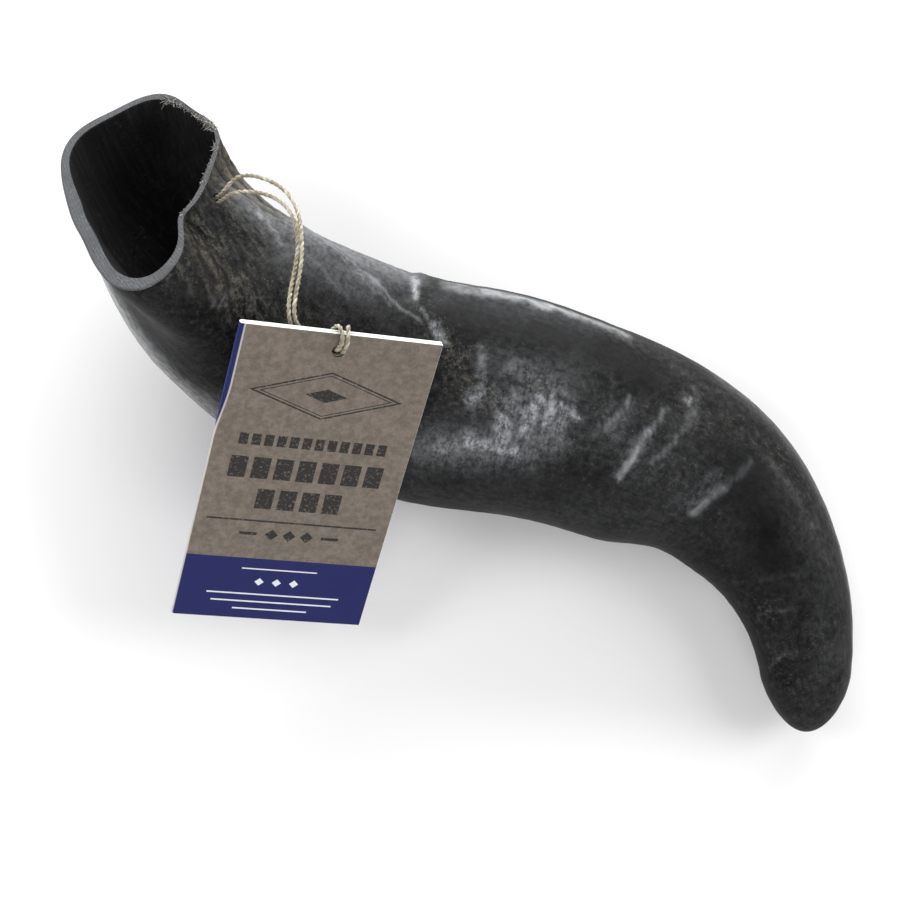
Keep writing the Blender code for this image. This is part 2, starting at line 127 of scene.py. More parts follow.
# Long edges: where each runs (along: degrees) and how far it stands out.
OUTER_EDGE = ((0, 0), (40, 8), (75, 30), (110, 42), (160, 47), (230, 55), (280, 48), (340, 42))
OUTER_EDGE_RISE = ((0, 0.0), (40, 0.03), (75, 0.07), (160, 0.06), (240, 0.03), (340, 0.03))
INNER_EDGE = ((0, 110), (60, 118), (120, 130), (200, 137), (300, 138), (340, 138))
INNER_EDGE_RISE = ((0, 0.0), (60, 0.03), (100, 0.04), (160, 0.045), (250, 0.035), (340, 0.01))
LOWER_EDGE = ((0, 235), (80, 245), (160, 265), (340, 270))
LOWER_EDGE_RISE = ((0, 0.0), (80, 0.05), (160, 0.03), (340, 0.0))
EDGE_WIDTH = 17.0

SHOULDER_ALONG = 42.0
SHOULDER_LENGTH = 7.0
SHOULDER_ANGLE = 178.0
SHOULDER_REACH = 22.0
SHOULDER_HEIGHT = 1.5

# Growth rings: place and angle at both ends, height and half width.
GROWTH_RINGS = (
    (210.0, 59.0, 207.0, 98.0, 0.5, 2.6),
    (222.0, 57.0, 217.0, 124.0, 0.8, 3.0),
    (232.0, 55.0, 227.0, 99.0, 0.5, 2.6),
    (255.0, 58.0, 247.0, 126.0, 0.8, 3.4),
)
RING_SPREAD = 0.35
LEDGE_ALONG = 131.0
LEDGE_ANGLE = 22.0
LEDGE_REACH = 24.0
LEDGE_HEIGHT = 1.3
LEDGE_STEEPNESS = 2.5
LEDGE_FADE = 55.0
GROOVE = ((30.0, 66.0), (55.0, 84.0), (90.0, 102.0))
GROOVE_DEPTH = 0.9
GROOVE_WIDTH = 8.0
GROOVE_LEAD_IN = 8.0

# Low ridges that fan out before the ledge, and the one along the upper outline after
# it: their run, height and half width in degrees.
FAN_RIDGES = (
    (((73, 23), (88, 24), (111, 35), (126, 44)), 0.8, 4.5),
    (((80, 41), (106, 53), (128, 60)), 0.45, 4.0),
    (((60, 5), (92, 8), (124, 16)), 0.4, 5.0),
    (((46, 17), (54, 22), (62, 34), (72, 44)), 0.7, 3.2),
    (((138, 17), (165, 17), (210, 18)), 0.8, 3.4),
)
FAN_ENDS = 7.0
# Where the rim is torn: middle and spread in degrees, and how badly.
TORN = (
    (320.0, 13.0, 1.0),
    (354.0, 9.0, 0.35),
    (26.0, 9.0, 0.3),
    (64.0, 3.0, 0.5),
)
# How deep the torn stretch is chipped, and how far its edge runs back into the hollow.
TORN_DEPTH = 1.1
RAGGED_DEPTH = 2.4
# The rim has no dark border where the wall is thinner than this.
THIN_WALL = 2.2
# How far the hollow's wall swells and dips, and the size of its lumps each way.
HOLLOW_SWELL = 0.35
HOLLOW_LUMPS = (7.0, 7.0, 22.0)
# The skin's and the hollow's fine relief grow from nothing over these runs from the cut.
RELIEF_LEAD_IN = 7.0
SWELL_LEAD_IN = 9.0
# The size of the lumps in each layer of the skin's fine relief: two ways across, and
# along. The ripples grow stronger over the stretch RIPPLES_GROW.
LUMP_SIZE = 24.0
STREAK_SIZE = (1.3, 1.3, 34.0)
RIPPLE_SIZE = (60.0, 60.0, 4.2)
RIPPLES_GROW = (40.0, 90.0)
FLAKE_SIZE = (3.2, 3.2, 4.6)
FINE_FLAKE_SIZE = (1.5, 1.5, 2.0)
BARK_SIZE = (1.7, 1.0, 9.0)
# How far the lowest skin stays over the floor.
FLOOR_CLEARANCE = 0.01
# The dent in the rim's upper side: along, degrees, half width and depth.
RIM_DENT = (33.0, 78.0, 4.5, 1.1)
# The skin is unrolled at this radius, where degrees round it turn into millimetres.
UNROLLED_RADIUS = 30.0
# How far a stroke strays from its straight run.
STROKE_WAVER = 1.3
STROKE_WAVE_SIZE = 4.0
# The slanting grain near the cut, which fades out between these two places.
GRAIN_SLANT = 28.0
GRAIN_FULL = 80.0
GRAIN_GONE = 125.0

# Marks on the horn's skin, each a stroke from one place to another: along and
# degrees at both ends, half width, and strength.
# Dry, pale scuffs, and painted highlights on the ledge's lit facet and along a growth ring's crest.
SCUFFS_AND_HIGHLIGHTS = (
    (184, 82, 180, 109, 2.3, 1.0),
    (188, 80, 187, 98, 1.8, 0.9),
    (191, 83, 197, 88, 1.8, 0.9),
    (176, 88, 190, 108, 6.0, 0.4),
    (192, 86, 192, 104, 2.6, 0.5),
    (173, 100, 174, 116, 2.6, 0.9),
    (155, 128, 162, 119, 3.0, 0.65),
    (162, 121, 180, 121, 2.3, 1.0),
    (150, 130, 184, 120, 5.5, 0.35),
    (162, 92, 165, 86, 2.6, 0.7),
    (163, 57, 165, 80, 1.5, 0.4),
    (174, 66, 190, 74, 4.0, 0.22),
    (213, 66, 209, 92, 2.4, 0.14),
    (220, 85, 217, 121, 2.2, 0.22),
    (229, 37, 230, 56, 2.2, 0.1),
    (227, 45, 228, 46, 1.6, 0.6),
    (246, 84, 243, 118, 3.0, 0.12),
    (137, 43, 144, 50, 0.9, 0.4),
    (144, 50, 149, 56, 1.6, 0.7),
    (130, 16, 132, 26, 1.3, 0.8),
    (132, 26, 134, 36, 0.8, 0.9),
    (54, 22, 67, 41, 2.0, 0.16),
    (96, 28, 128, 44, 1.6, 0.14),
    (57, 94, 62, 92, 2.2, 0.28),
)
# Soft stretches of paler skin: partly worn skin, partly painted sheen, with a painted highlight
# strip along the outer edge and painted sheen under the rim.
HAZED_AND_SHEEN = (
    (46, 10, 84, 22, 9.0, 1.0),
    (84, 20, 128, 14, 7.5, 0.9),
    (72, 44, 112, 36, 7.0, 0.45),
    (145, 18, 160, 18, 2.8, 0.9),
    (160, 18, 182, 18, 2.4, 1.0),
    (182, 18, 205, 18, 1.7, 0.8),
    (146, 29, 192, 27, 5.0, 0.3),
    (130, 15, 133, 34, 1.5, 0.9),
    (168, 66, 190, 62, 7.0, 0.2),
    (152, 122, 182, 108, 9.0, 0.25),
    (150, 150, 232, 150, 16.0, 0.1),
    (200, 90, 236, 110, 16.0, 0.14),
    (28, 188, 46, 174, 6.0, 1.0),
    (46, 174, 66, 165, 5.0, 0.9),
    (66, 165, 101, 154, 3.6, 0.55),
    (101, 154, 140, 150, 3.0, 0.25),
    (290, 60, 335, 80, 14.0, 0.08),
)
# Rough skin with specks of dried skin and soil.
SOILED = (
    (28, 62, 88, 100, 9.0, 0.95),
    (24, 96, 60, 84, 8.0, 0.7),
    (26, 30, 60, 46, 10.0, 0.65),
    (24, 345, 62, 10, 9.0, 0.9),
    (60, 60, 92, 80, 10.0, 0.55),
    (96, 44, 118, 56, 7.0, 0.4),
    (300, 128, 344, 110, 12.0, 0.38),
    (314, 80, 346, 90, 10.0, 0.28),
    (146, 46, 168, 92, 9.0, 0.75),
    (180, 70, 186, 84, 6.0, 0.7),
    (226, 60, 262, 36, 10.0, 0.6),
    (190, 98, 252, 102, 15.0, 0.32),
)
# Stretches that shine.
POLISHED = (
    (130, 15, 133, 36, 2.0, 0.8),
    (147, 18, 206, 18, 2.4, 1.0),
    (50, 18, 125, 14, 9.0, 0.4),
    (206, 17, 262, 44, 4.0, 0.14),
    (262, 44, 331, 44, 4.0, 0.1),
    (236, 12, 338, 12, 5.0, 0.35),
    (40, 184, 100, 160, 8.0, 1.0),
)
# Painted highlights: fine, unbroken pale lines along the crests of the growth rings, the fan ridges
# and the bright strip along the outer edge.
HIGHLIGHT_LINES = (
    (211, 62, 209, 79, 0.6, 0.3),
    (209, 79, 207, 94, 0.6, 0.3),
    (207, 68, 204, 96, 0.7, 0.16),
    (223, 59, 220, 80, 0.6, 0.35),
    (220, 80, 219, 95, 0.7, 0.6),
    (219, 95, 218, 108, 0.8, 0.85),
    (218, 108, 217, 120, 1.0, 1.0),
    (230, 50, 229, 78, 0.8, 0.22),
    (229, 78, 225, 101, 0.9, 0.28),
    (253, 57, 250, 89, 1.0, 0.12),
    (250, 89, 248, 107, 1.1, 0.34),
    (248, 107, 247, 122, 1.3, 0.62),
    (286, 123, 291, 83, 1.0, 0.05),
    (301, 144, 299, 127, 0.6, 0.1),
    (299, 127, 302, 100, 0.6, 0.09),
    (324, 150, 318, 129, 0.6, 0.11),
    (318, 129, 318, 108, 0.6, 0.09),
    (130, 18, 133, 36, 0.6, 0.4),
    (73, 23, 88, 24, 0.6, 0.14),
    (88, 24, 111, 35, 0.5, 0.3),
    (111, 35, 128, 45, 0.5, 0.42),
    (128, 45, 138, 50, 0.5, 0.36),
    (95, 31, 124, 46, 0.4, 0.24),
    (80, 41, 106, 53, 0.6, 0.14),
    (49, 18, 54, 22, 0.5, 0.3),
    (54, 22, 62, 34, 0.5, 0.45),
    (62, 34, 68, 42, 0.5, 0.3),
    (148, 20, 166, 19, 1.5, 0.3),
    (160, 18, 190, 18, 0.9, 0.85),
    (190, 18, 206, 17, 0.7, 0.5),
    (180, 19, 183, 19, 0.8, 1.0),
)
# Stretches of smooth skin with fewer specks, painted nearly black as shade.
SHADE_AND_SMOOTH = (
    (150, 36, 200, 35, 7.5, 0.78),
    (200, 35, 214, 46, 7.0, 0.8),
    (256, 74, 280, 100, 13.0, 1.0),
    (280, 100, 296, 70, 11.0, 0.5),
    (140, 140, 200, 136, 8.0, 0.4),
    (236, 12, 338, 12, 5.0, 0.4),
)
# Cracks and furrows of the rough skin near the cut: sunk into the skin, and painted dark inside as
# shade.
FURROWS = (
    (33, 60, 36, 72, 1.3, 1.0),
    (36, 72, 42, 79, 1.1, 1.0),
    (43, 82, 49, 88, 1.2, 1.0),
    (49, 88, 60, 95, 1.0, 0.8),
    (34, 66, 44, 71, 0.9, 0.9),
    (45, 73, 52, 80, 0.9, 0.8),
    (53, 80, 60, 86, 1.1, 1.0),
    (40, 86, 47, 94, 0.9, 0.9),
    (60, 88, 66, 95, 0.9, 0.8),
    (57, 70, 63, 74, 0.8, 0.7),
    (36, 82, 50, 96, 1.2, 0.7),
    (50, 96, 62, 104, 1.2, 0.6),
    (44, 70, 56, 78, 1.1, 0.6),
    (28, 352, 44, 0, 1.3, 0.9),
    (44, 0, 62, 8, 1.3, 0.7),
    (27, 6, 44, 12, 1.2, 0.9),
    (44, 12, 64, 18, 1.1, 0.6),
    (28, 342, 48, 348, 1.3, 0.8),
    (31, 22, 48, 26, 1.0, 0.5),
)
# Brown, flaking skin on the horn's outer side, next to the torn rim.
BROWNED = (
    (27, 340, 46, 352, 5.0, 0.8),
    (30, 352, 50, 8, 5.0, 1.0),
    (50, 8, 62, 12, 4.0, 0.6),
    (30, 14, 42, 22, 4.0, 0.5),
    (38, 74, 62, 90, 4.5, 0.4),
)
MARKS = {
    "scuffed_and_highlit": SCUFFS_AND_HIGHLIGHTS,
    "hazed_and_sheen": HAZED_AND_SHEEN,
    "soiled": SOILED,
    "polished": POLISHED,
    "highlight_lines": HIGHLIGHT_LINES,
    "shade_and_smooth": SHADE_AND_SMOOTH,
    "furrowed": FURROWS,
    "browned": BROWNED,
}

# --- The swing tag ---
TAG_WIDTH = 66.0
TAG_HEIGHT = 116.0
CARD_THICKNESS = 0.9
LEAF_GAP = 0.4
FOLD_STEPS = 12
TAG_CENTRE = (-48.3, -10.3, 54.6)
TAG_TURNS = (33.7, 18.6, -5.4)
TAG_TURNED = Euler([math.radians(turn) for turn in TAG_TURNS])
PUNCHED_X = 0.0
PUNCHED_Y = 51.6
PUNCHED_DIAMETER = 4.4
PUNCH_DEPTH = 10.0
PUNCHED_SIDES = 40
# The print's edge runs into the fold at the first height and is furthest from it
# at the second.
CREASE_FROM = 14.0
CREASE_TO = 36.0
CREASE_AT_FOLD = -TAG_WIDTH / 2 + 0.1
# How far the card's cut edges are softened.
CARD_SOFTENED = 0.08

# The plain print, from the card's middle: across, up, half width, half height, and
# the line's width where a lozenge is an outline.
PRINT_BLUR = 0.06
RULES = (
    (0.0, -16.6, 29.0, 0.35),
    (-14.0, -22.0, 3.0, 0.6),
    (14.0, -22.0, 3.0, 0.6),
)
LOZENGES = (
    (0.0, 34.5, 24.5, 8.82, 0.5),
    (0.0, 34.5, 21.5, 7.74, 0.28),
    (0.0, 34.5, 7.0, 2.6),
    (-6.0, -22.0, 2.3, 2.3),
    (0.0, -22.0, 2.3, 2.3),
    (6.0, -22.0, 2.3, 2.3),
)
# Rows of bars: up, half height, pitch, a bar's width, and how many.
BAR_ROWS = (
    (15.6, 2.2, 4.2, 3.0, 12),
    (4.6, 4.2, 7.6, 5.8, 7),
    (-7.6, 4.0, 7.6, 5.8, 4),
)
BAND_RULES = (
    (0.0, -36.6, 13.0, 0.25),
    (0.0, -47.4, 23.0, 0.3),
    (0.0, -50.6, 21.0, 0.3),
    (0.0, -53.8, 13.0, 0.3),
)
BAND_LOZENGES = (
    (-6.0, -42.0, 1.6, 1.6),
    (0.0, -42.0, 1.6, 1.6),
    (6.0, -42.0, 1.6, 1.6),
)

# Tufts of torn fibre along the rim: middle and spread in degrees, count, longest.
TUFTS = (
    (301, 1.2, 120, 1.7),
    (304.5, 1.0, 80, 1.2),
    (308, 1.5, 50, 0.9),
    (316, 3.0, 50, 0.7),
    (324, 1.8, 100, 1.1),
    (328, 1.2, 90, 1.2),
    (334, 1.4, 130, 1.4),
    (338, 1.5, 60, 0.9),
    (352, 1.0, 50, 1.4),
    (2, 5.0, 40, 0.6),
    (16, 1.0, 40, 1.3),
    (24, 2.0, 24, 0.7),
    (42, 7.0, 16, 0.6),
    (64, 3.0, 24, 0.8),
)

# --- The twine ---
TWINE_DIAMETER = 1.4
STRAND_OFFSET = 0.9
STRANDS_APART = (-0.262, 0.957, -0.142)
HOLE_HEIGHTS = (-2.35, 1.5)
STRAND_OUT = (
    (-70.0, 82.0, 69.5),
    (-61.0, 82.0, 72.5),
    (-51.5, 76.5, 77.0),
    (-47.9, 66.0, 81.5),
    (-48.9, 54.5, 85.0),
)
STRAND_BACK = (
    (-46.9, 55.0, 86.3),
    (-46.5, 67.0, 83.4),
    (-49.8, 79.0, 79.0),
    (-58.5, 86.0, 74.5),
    (-68.0, 87.0, 71.0),
)
HITCH_ROUTE = (
    (-16.6, 58.3, -3.4),
    (-14.3, 54.6, -3.1),
    (-9.0, 52.5, -4.7),
    (-3.3, 52.5, -5.8),
    (-1.1, 52.7, -3.2),
    (-0.8, 51.8, -0.8),
    (-0.8, 52.6, 2.0),
    (-0.4, 56.6, 3.3),
    (-0.9, 59.4, 1.2),
    (-1.6, 59.2, -1.5),
    (-2.8, 55.6, -3.3),
    (-3.5, 51.9, -3.5),
    (-1.6, 49.4, -4.9),
    (1.6, 49.4, -4.9),
    (3.5, 51.9, -3.5),
    (2.8, 55.6, -3.2),
    (1.8, 59.3, -1.5),
    (1.3, 59.6, 1.2),
    (1.3, 56.6, 3.6),
    (1.0, 52.4, 2.4),
    (1.0, 51.8, -0.7),
    (0.9, 53.4, -3.0),
    (-1.0, 54.4, -4.8),
    (-3.8, 54.3, -5.3),
    (-9.0, 54.3, -4.2),
    (-14.0, 57.4, -2.7),
)
# The ends reach on into the stopper knot.
KNOT_REACH = 3.4
KNOT_DEPTH = 5.6
# The two plies: their radius, how far each winds off the twine's middle, and one turn.
PLY_RADIUS = 0.44
PLY_OFFSET = 0.26
PLY_PITCH = 3.7
PLY_UNEVEN = 0.13
PLY_SIDES = 10
TWINE_STEP = 0.36
KNOT_STEPS = 90
KNOT_HAIRS = 46
HAIR_POINTS = 5

# --- The stage, in metres: the lens, and each light's place, aim and size ---
LENS = 80.0
SENSOR = 36.0
LIGHTS = {
    "light_top": ((0.05, 1.15, 0.5), (0.0, 0.0, 0.03), (1.6, 0.5)),
    "light_left": ((-1.1, 0.3, 0.7), (0.0, 0.0, 0.0), (0.6, 0.9)),
    "light_right": ((1.1, 0.2, 0.7), (0.0, 0.0, 0.0), (0.6, 0.9)),
    "light_bottom": ((0.0, -1.2, 0.9), (0.0, 0.0, 0.0), (1.6, 0.5)),
}

SHARP_ANGLE = 32.0
# The horn's materials, in the order of its slots, and the places that they read.
SKIN, SAWN, HOLLOW = range(3)
PLACES = ("horn_place", "bark_place")
# Above 1 the horn's sections crowd together near the cut.
ROW_CROWDING = 1.15


def spline(knots, values, places):
    """Natural cubic spline through the values at the knots, read at the places."""
    knots = np.asarray(knots, float)
    values = np.asarray(values, float)
    flat = values.reshape(len(knots), -1)
    gaps = np.diff(knots)
    slopes = np.diff(flat, axis=0) / gaps[:, None]
    system = np.eye(len(knots))
    right = np.zeros_like(flat)
    for k in range(1, len(knots) - 1):
        system[k, k - 1:k + 2] = gaps[k - 1], 2 * (gaps[k - 1] + gaps[k]), gaps[k]
        right[k] = 6 * (slopes[k] - slopes[k - 1])
    bends = np.linalg.solve(system, right)
    places = np.clip(np.asarray(places, float), knots[0], knots[-1])
    k = np.clip(np.searchsorted(knots, places, side="right") - 1, 0, len(gaps) - 1)
    gap = gaps[k][..., None]
    after = (places - knots[k])[..., None]
    before = gap - after
    read = (bends[k] * before ** 3 + bends[k + 1] * after ** 3) / (6 * gap)
    read = read + (flat[k] / gap - bends[k] * gap / 6) * before
    read = read + (flat[k + 1] / gap - bends[k + 1] * gap / 6) * after
    return read.reshape(places.shape + values.shape[1:])


def chord_lengths(points):
    """How far along the chain of points each point is."""
    steps = np.linalg.norm(np.diff(np.asarray(points, float), axis=0), axis=1)
    return np.concatenate(([0.0], np.cumsum(steps)))


ALONG = chord_lengths(CENTRE_LINE)
HORN_LENGTH = ALONG[-1]
MOUTH_ALONG = ALONG[1]


def bump(value, centre, width):
    """A smooth hill, 1 at the centre."""
    return np.exp(-0.5 * ((value - centre) / width) ** 2)


def turn(angle, centre):
    """Angle from the centre, between -180 and 180 degrees."""
    return (angle - centre + 180.0) % 360.0 - 180.0


def track(table, along):
    """Reads a table of (along, value) pairs smoothly."""
    table = np.asarray(table, float)
    return spline(table[:, 0], table[:, 1], along)


def round_spline(angles, values, angle):
    """Reads values that run once round the horn, without a step at 360 degrees."""
    angles = np.asarray(angles, float)
    angles = np.concatenate((angles[-3:] - 360.0, angles, angles[:3] + 360.0))
    values = np.concatenate((values[-3:], values, values[:3]))
    return spline(angles, values, np.asarray(angle, float) % 360.0)


def fade(value, start, end):
    """1 before the start, 0 after the end, smooth between."""
    share = np.clip((value - start) / (end - start), 0.0, 1.0)
    return 1.0 - share * share * (3.0 - 2.0 * share)


def horn_frame(along):
    """Centre, outward (width) and upward (depth) directions."""
    centre = spline(ALONG, CENTRE_LINE, along)
    ahead = spline(ALONG, CENTRE_LINE, np.minimum(along + TANGENT_STEP, HORN_LENGTH))
    behind = spline(ALONG, CENTRE_LINE, np.maximum(along - TANGENT_STEP, 0.0))
    tangent = ahead - behind
    tangent /= np.linalg.norm(tangent, axis=-1, keepdims=True)
    across = np.cross((0.0, 0.0, 1.0), tangent)
    across /= np.linalg.norm(across, axis=-1, keepdims=True)
    return centre, across, np.cross(tangent, across)


def relief(along, angle):
    """How far the growth rings, the ledge, the shoulder and the groove stand off the skin."""
    height = 0.0
    for start, start_angle, end, end_angle, rise, width in GROWTH_RINGS:
        share = turn(angle, start_angle) / (end_angle - start_angle)
        ring = start + (end - start) * share
        height = height + rise * bump(along, ring, width) * bump(share, 0.5, RING_SPREAD)
    past = along - LEDGE_ALONG
    rise = 1.0 - fade(past, -LEDGE_STEEPNESS, LEDGE_STEEPNESS)
    rise = rise * fade(past, LEDGE_STEEPNESS, LEDGE_FADE)
    height = height + LEDGE_HEIGHT * rise * bump(turn(angle, LEDGE_ANGLE), 0.0, LEDGE_REACH)
    shoulder = bump(along, SHOULDER_ALONG, SHOULDER_LENGTH)
    shoulder = shoulder * bump(turn(angle, SHOULDER_ANGLE), 0.0, SHOULDER_REACH)
    height = height + SHOULDER_HEIGHT * shoulder
    reach = 1.0 - fade(along, GROOVE[0][0] - GROOVE_LEAD_IN, GROOVE[0][0])
    reach = reach * fade(along, GROOVE[1][0], GROOVE[2][0])
    groove = bump(turn(angle, track(GROOVE, along)), 0.0, GROOVE_WIDTH)
    return height - GROOVE_DEPTH * reach * groove


def outer_radius(along, angle):
    """Distance from the centre line to the horn's outer skin, without the nose."""
    across, upward = np.cos(np.radians(angle)), np.sin(np.radians(angle))
    outer_width = spline(ALONG, OUTER_WIDTHS, along)
    half_width = np.where(across > 0.0, outer_width, spline(ALONG, INNER_WIDTHS, along))
    half_depth = spline(ALONG, HALF_DEPTHS, along)
    body = 1.0 / np.sqrt((across / half_width) ** 2 + (upward / half_depth) ** 2)
    for edge, rise in (
        (OUTER_EDGE, OUTER_EDGE_RISE),
        (INNER_EDGE, INNER_EDGE_RISE),
        (LOWER_EDGE, LOWER_EDGE_RISE),
    ):
        ridge = bump(turn(angle, track(edge, along)), 0.0, EDGE_WIDTH)
        body = body * (1.0 + track(rise, along) * ridge)
    mouth = round_spline(MOUTH_ANGLES, MOUTH_RADII, angle)
    rim = RIM_ALONG + RIM_SLANT * np.cos(np.radians(angle - RIM_SLANT_ANGLE))
    share = fade(along - rim, 0.0, MOUTH_FADE)
    return mouth * share + body * (1.0 - share) + relief(along, angle)


def nose(along):
    """Shrinks the sections to nothing over the rounded tip."""
    past = np.clip((along - (HORN_LENGTH - NOSE_LENGTH)) / NOSE_LENGTH, 0.0, 1.0)
    return np.sqrt(1.0 - past ** 2)


def wall(along, angle):
    """Thickness of the horn's wall, which grows towards the tip."""
    deep = np.clip((along - MOUTH_ALONG) / HOLLOW_LENGTH, 0.0, 1.0)
    left = 1.0 + (WALL_LEFT_AT_END - 1.0) * deep
    at_mouth = round_spline(WALL_ANGLES, WALL_AT_MOUTH, angle)
    return at_mouth * left + WALL_GROWTH * deep ** WALL_GROWTH_POWER


def horn_radius(along, angle, inner=False):
    """Distance from the centre line to the horn's outer or inner skin."""
    radius = outer_radius(along, angle) * nose(along)
    if inner:
        past = (along - MOUTH_ALONG - HOLLOW_LENGTH + HOLLOW_END_ROUND) / HOLLOW_END_ROUND
        radius = (radius - wall(along, angle)) * np.sqrt(1.0 - np.clip(past, 0.0, 1.0) ** 2)
    return radius


def stand_out(along, angle, radius):
    """Points of the horn's own frame at that distance from the centre line."""
    centre, across, upward = horn_frame(along)
    width = (radius * np.cos(np.radians(angle)))[..., None]
    depth = (radius * np.sin(np.radians(angle)))[..., None]
    return centre + across * width + upward * depth


def straightened(along, angle, radius):
    """Where a point would be if the horn's centre line were straight."""
    across = radius * np.cos(np.radians(angle))
    return np.stack([across, radius * np.sin(np.radians(angle)), along + np.zeros_like(across)], -1)


def saw_cut(angle, inner=False):
    """How far along the horn the saw's plane crosses its skin at each angle."""
    normal = np.asarray(SAW_NORMAL) / np.linalg.norm(SAW_NORMAL)
    low = np.zeros_like(angle)
    high = np.full_like(angle, MOUTH_ALONG + SAW_SEARCH)
    for _ in range(SAW_HALVINGS):
        middle = (low + high) / 2
        side = (stand_out(middle, angle, horn_radius(middle, angle, inner)) - SAW_POINT) @ normal
        low = np.where(side > 0, middle, low)
        high = np.where(side > 0, high, middle)
    return (low + high) / 2


def rim_edges(angle):
    """Where the saw's plane crosses the outer and the inner skin: (along, points) of each."""
    edges = []
    for inner in (False, True):
        cut = saw_cut(angle, inner)
        edges.append((cut, stand_out(cut, angle, horn_radius(cut, angle, inner))))
    return edges


def wavering(along, angle, places):
    """The same places shifted a little, so that strokes read there do not run quite true."""
    waver = noise_at(places, STROKE_WAVE_SIZE, 21.0)
    shifted = angle + np.degrees(STROKE_WAVER / UNROLLED_RADIUS) * np.roll(waver, 7, axis=1)
    return along + STROKE_WAVER * waver, shifted


def bark_places(along, angle):
    """Places of the unrolled skin, with Z along the slanting grain near the mouth."""
    across = np.radians(turn(angle, 90.0)) * UNROLLED_RADIUS
    slant = math.radians(GRAIN_SLANT)
    down = along * math.cos(slant) + across * math.sin(slant)
    beside = across * math.cos(slant) - along * math.sin(slant)
    return np.stack([beside, np.zeros_like(beside), down], -1)


def stroke_mask(strokes, along, angle):
    """How strongly the strokes mark each place of the unrolled skin, 0 to 1."""
    mark = np.zeros_like(along)
    for start, start_angle, end, end_angle, width, strength in strokes:
        run = end - start
        rise = math.radians(turn(end_angle, start_angle)) * UNROLLED_RADIUS
        past = along - start
        beside = np.radians(turn(angle, start_angle)) * UNROLLED_RADIUS
        share = np.clip((past * run + beside * rise) / (run * run + rise * rise), 0.0, 1.0)
        away = np.hypot(past - share * run, beside - share * rise)
        mark = np.maximum(mark, strength * np.exp(-(away / width) ** 2))
    return mark


def noise_at(places, size, shift=0.0):
    """Smooth noise of about -1 to 1, with lumps of that size (mm) each way."""
    flat = (places / np.asarray(size) + shift).reshape(-1, 3)
    return np.array([noise.noise(place) for place in flat.tolist()]).reshape(places.shape[:-1])


# --------------------------------------------------------------------- meshes


def new_piece(name, points, faces):
    """A piece at the origin, from points in the horn's frame in millimetres."""
    if not faces:
        raise RuntimeError(f"{name} has no faces")
    mesh = bpy.data.meshes.new(name)
    mesh.from_pydata(((np.asarray(points) + RESTING_PLACE) * MM).tolist(), [], faces)
    mesh.update()
    piece = bpy.data.objects.new(name, mesh)
    bpy.context.scene.collection.objects.link(piece)
    return piece


def pick(piece):
    """Makes the piece the only one selected, and the active one."""
    bpy.ops.object.select_all(action="DESELECT")
    piece.select_set(True)
    bpy.context.view_layer.objects.active = piece


def outward(piece):
    """Turns the faces of a closed piece outwards."""
    shape = bmesh.new()
    shape.from_mesh(piece.data)
    bmesh.ops.recalc_face_normals(shape, faces=shape.faces)
    shape.to_mesh(piece.data)
    shape.free()


def write_values(mesh, name, values):
    """Keeps one number or one vector for each point of the mesh."""
    values = np.asarray(values, float)
    kind = "FLOAT" if values.ndim == 1 else "FLOAT_VECTOR"
    layer = mesh.attributes.new(name, kind, "POINT")
    layer.data.foreach_set("value" if kind == "FLOAT" else "vector", values.ravel())


def points_of(mesh):
    places = np.empty(len(mesh.vertices) * 3)
    mesh.vertices.foreach_get("co", places)
    return places.reshape(-1, 3)


def drill(piece, name, place, direction, diameter, depth, sides, material):
    """Cuts a round hole through the piece, with walls of the given material."""
    bpy.ops.object.select_all(action="DESELECT")
    bpy.ops.mesh.primitive_cylinder_add(
        vertices=sides, radius=diameter / 2 * MM, depth=depth * MM,
        location=place, rotation=direction.to_track_quat("Z", "Y").to_euler(),
    )
    cutter = bpy.context.object
    cutter.name = name
    cutter.data.materials.append(material)
    pick(piece)
    cut = piece.modifiers.new(name, "BOOLEAN")
    cut.operation = "DIFFERENCE"
    cut.solver = "EXACT"
    cut.material_mode = "TRANSFER"
    cut.object = cutter
    bpy.ops.object.modifier_apply(modifier=name)
    bpy.data.objects.remove(cutter, do_unlink=True)


def directions(path):
    """The way that the path runs at each of its points."""
    tangents = np.gradient(path, axis=0)
    return tangents / np.linalg.norm(tangents, axis=1, keepdims=True)


def carried_frames(path):
    """Two directions across the path at each point, carried along it untwisted."""
    tangents = directions(path)
    side = np.cross(tangents[0], (0.3, 0.2, 0.93))
    sides = []
    for tangent in tangents:
        side = side - tangent * np.dot(side, tangent)
        side = side / np.linalg.norm(side)
        sides.append(side)
    sides = np.array(sides)
    return sides, np.cross(tangents, sides)


def ring_faces(rows, sides):
    """The faces between rings of points that follow each other."""
    faces = []
    for first in range(0, (rows - 1) * sides, sides):
        for side in range(sides):
            near, far = first + side, first + (side + 1) % sides
            faces.append((near, far, far + sides, near + sides))
    return faces


def tube(path, radii, sides):
    """Points and faces of a closed tube round the path."""
    first, second = carried_frames(path)
    angles = (np.arange(sides) * 2 * math.pi / sides)[None, :, None]
    ring = first[:, None] * np.cos(angles) + second[:, None] * np.sin(angles)
    points = (path[:, None] + ring * radii.reshape(len(path), -1, 1)).reshape(-1, 3)
    start = tuple(reversed(range(sides)))
    end = tuple(range((len(path) - 1) * sides, len(path) * sides))
    return points, [start, *ring_faces(len(path), sides), end]


class Heap:
    """Gathers points, faces and one vector per point for a piece of many parts."""

    def __init__(self):
        self.points = []
        self.faces = []
        self.places = []
        self.count = 0

    def add(self, points, faces, places):
        self.points.append(points)
        self.faces.extend(tuple(corner + self.count for corner in face) for face in faces)
        self.places.append(places)
        self.count += len(points)

    def build(self, name, attribute):
        piece = new_piece(name, np.concatenate(self.points), self.faces)
        write_values(piece.data, attribute, np.concatenate(self.places))
        return piece


# ------------------------------------------------------------------ materials


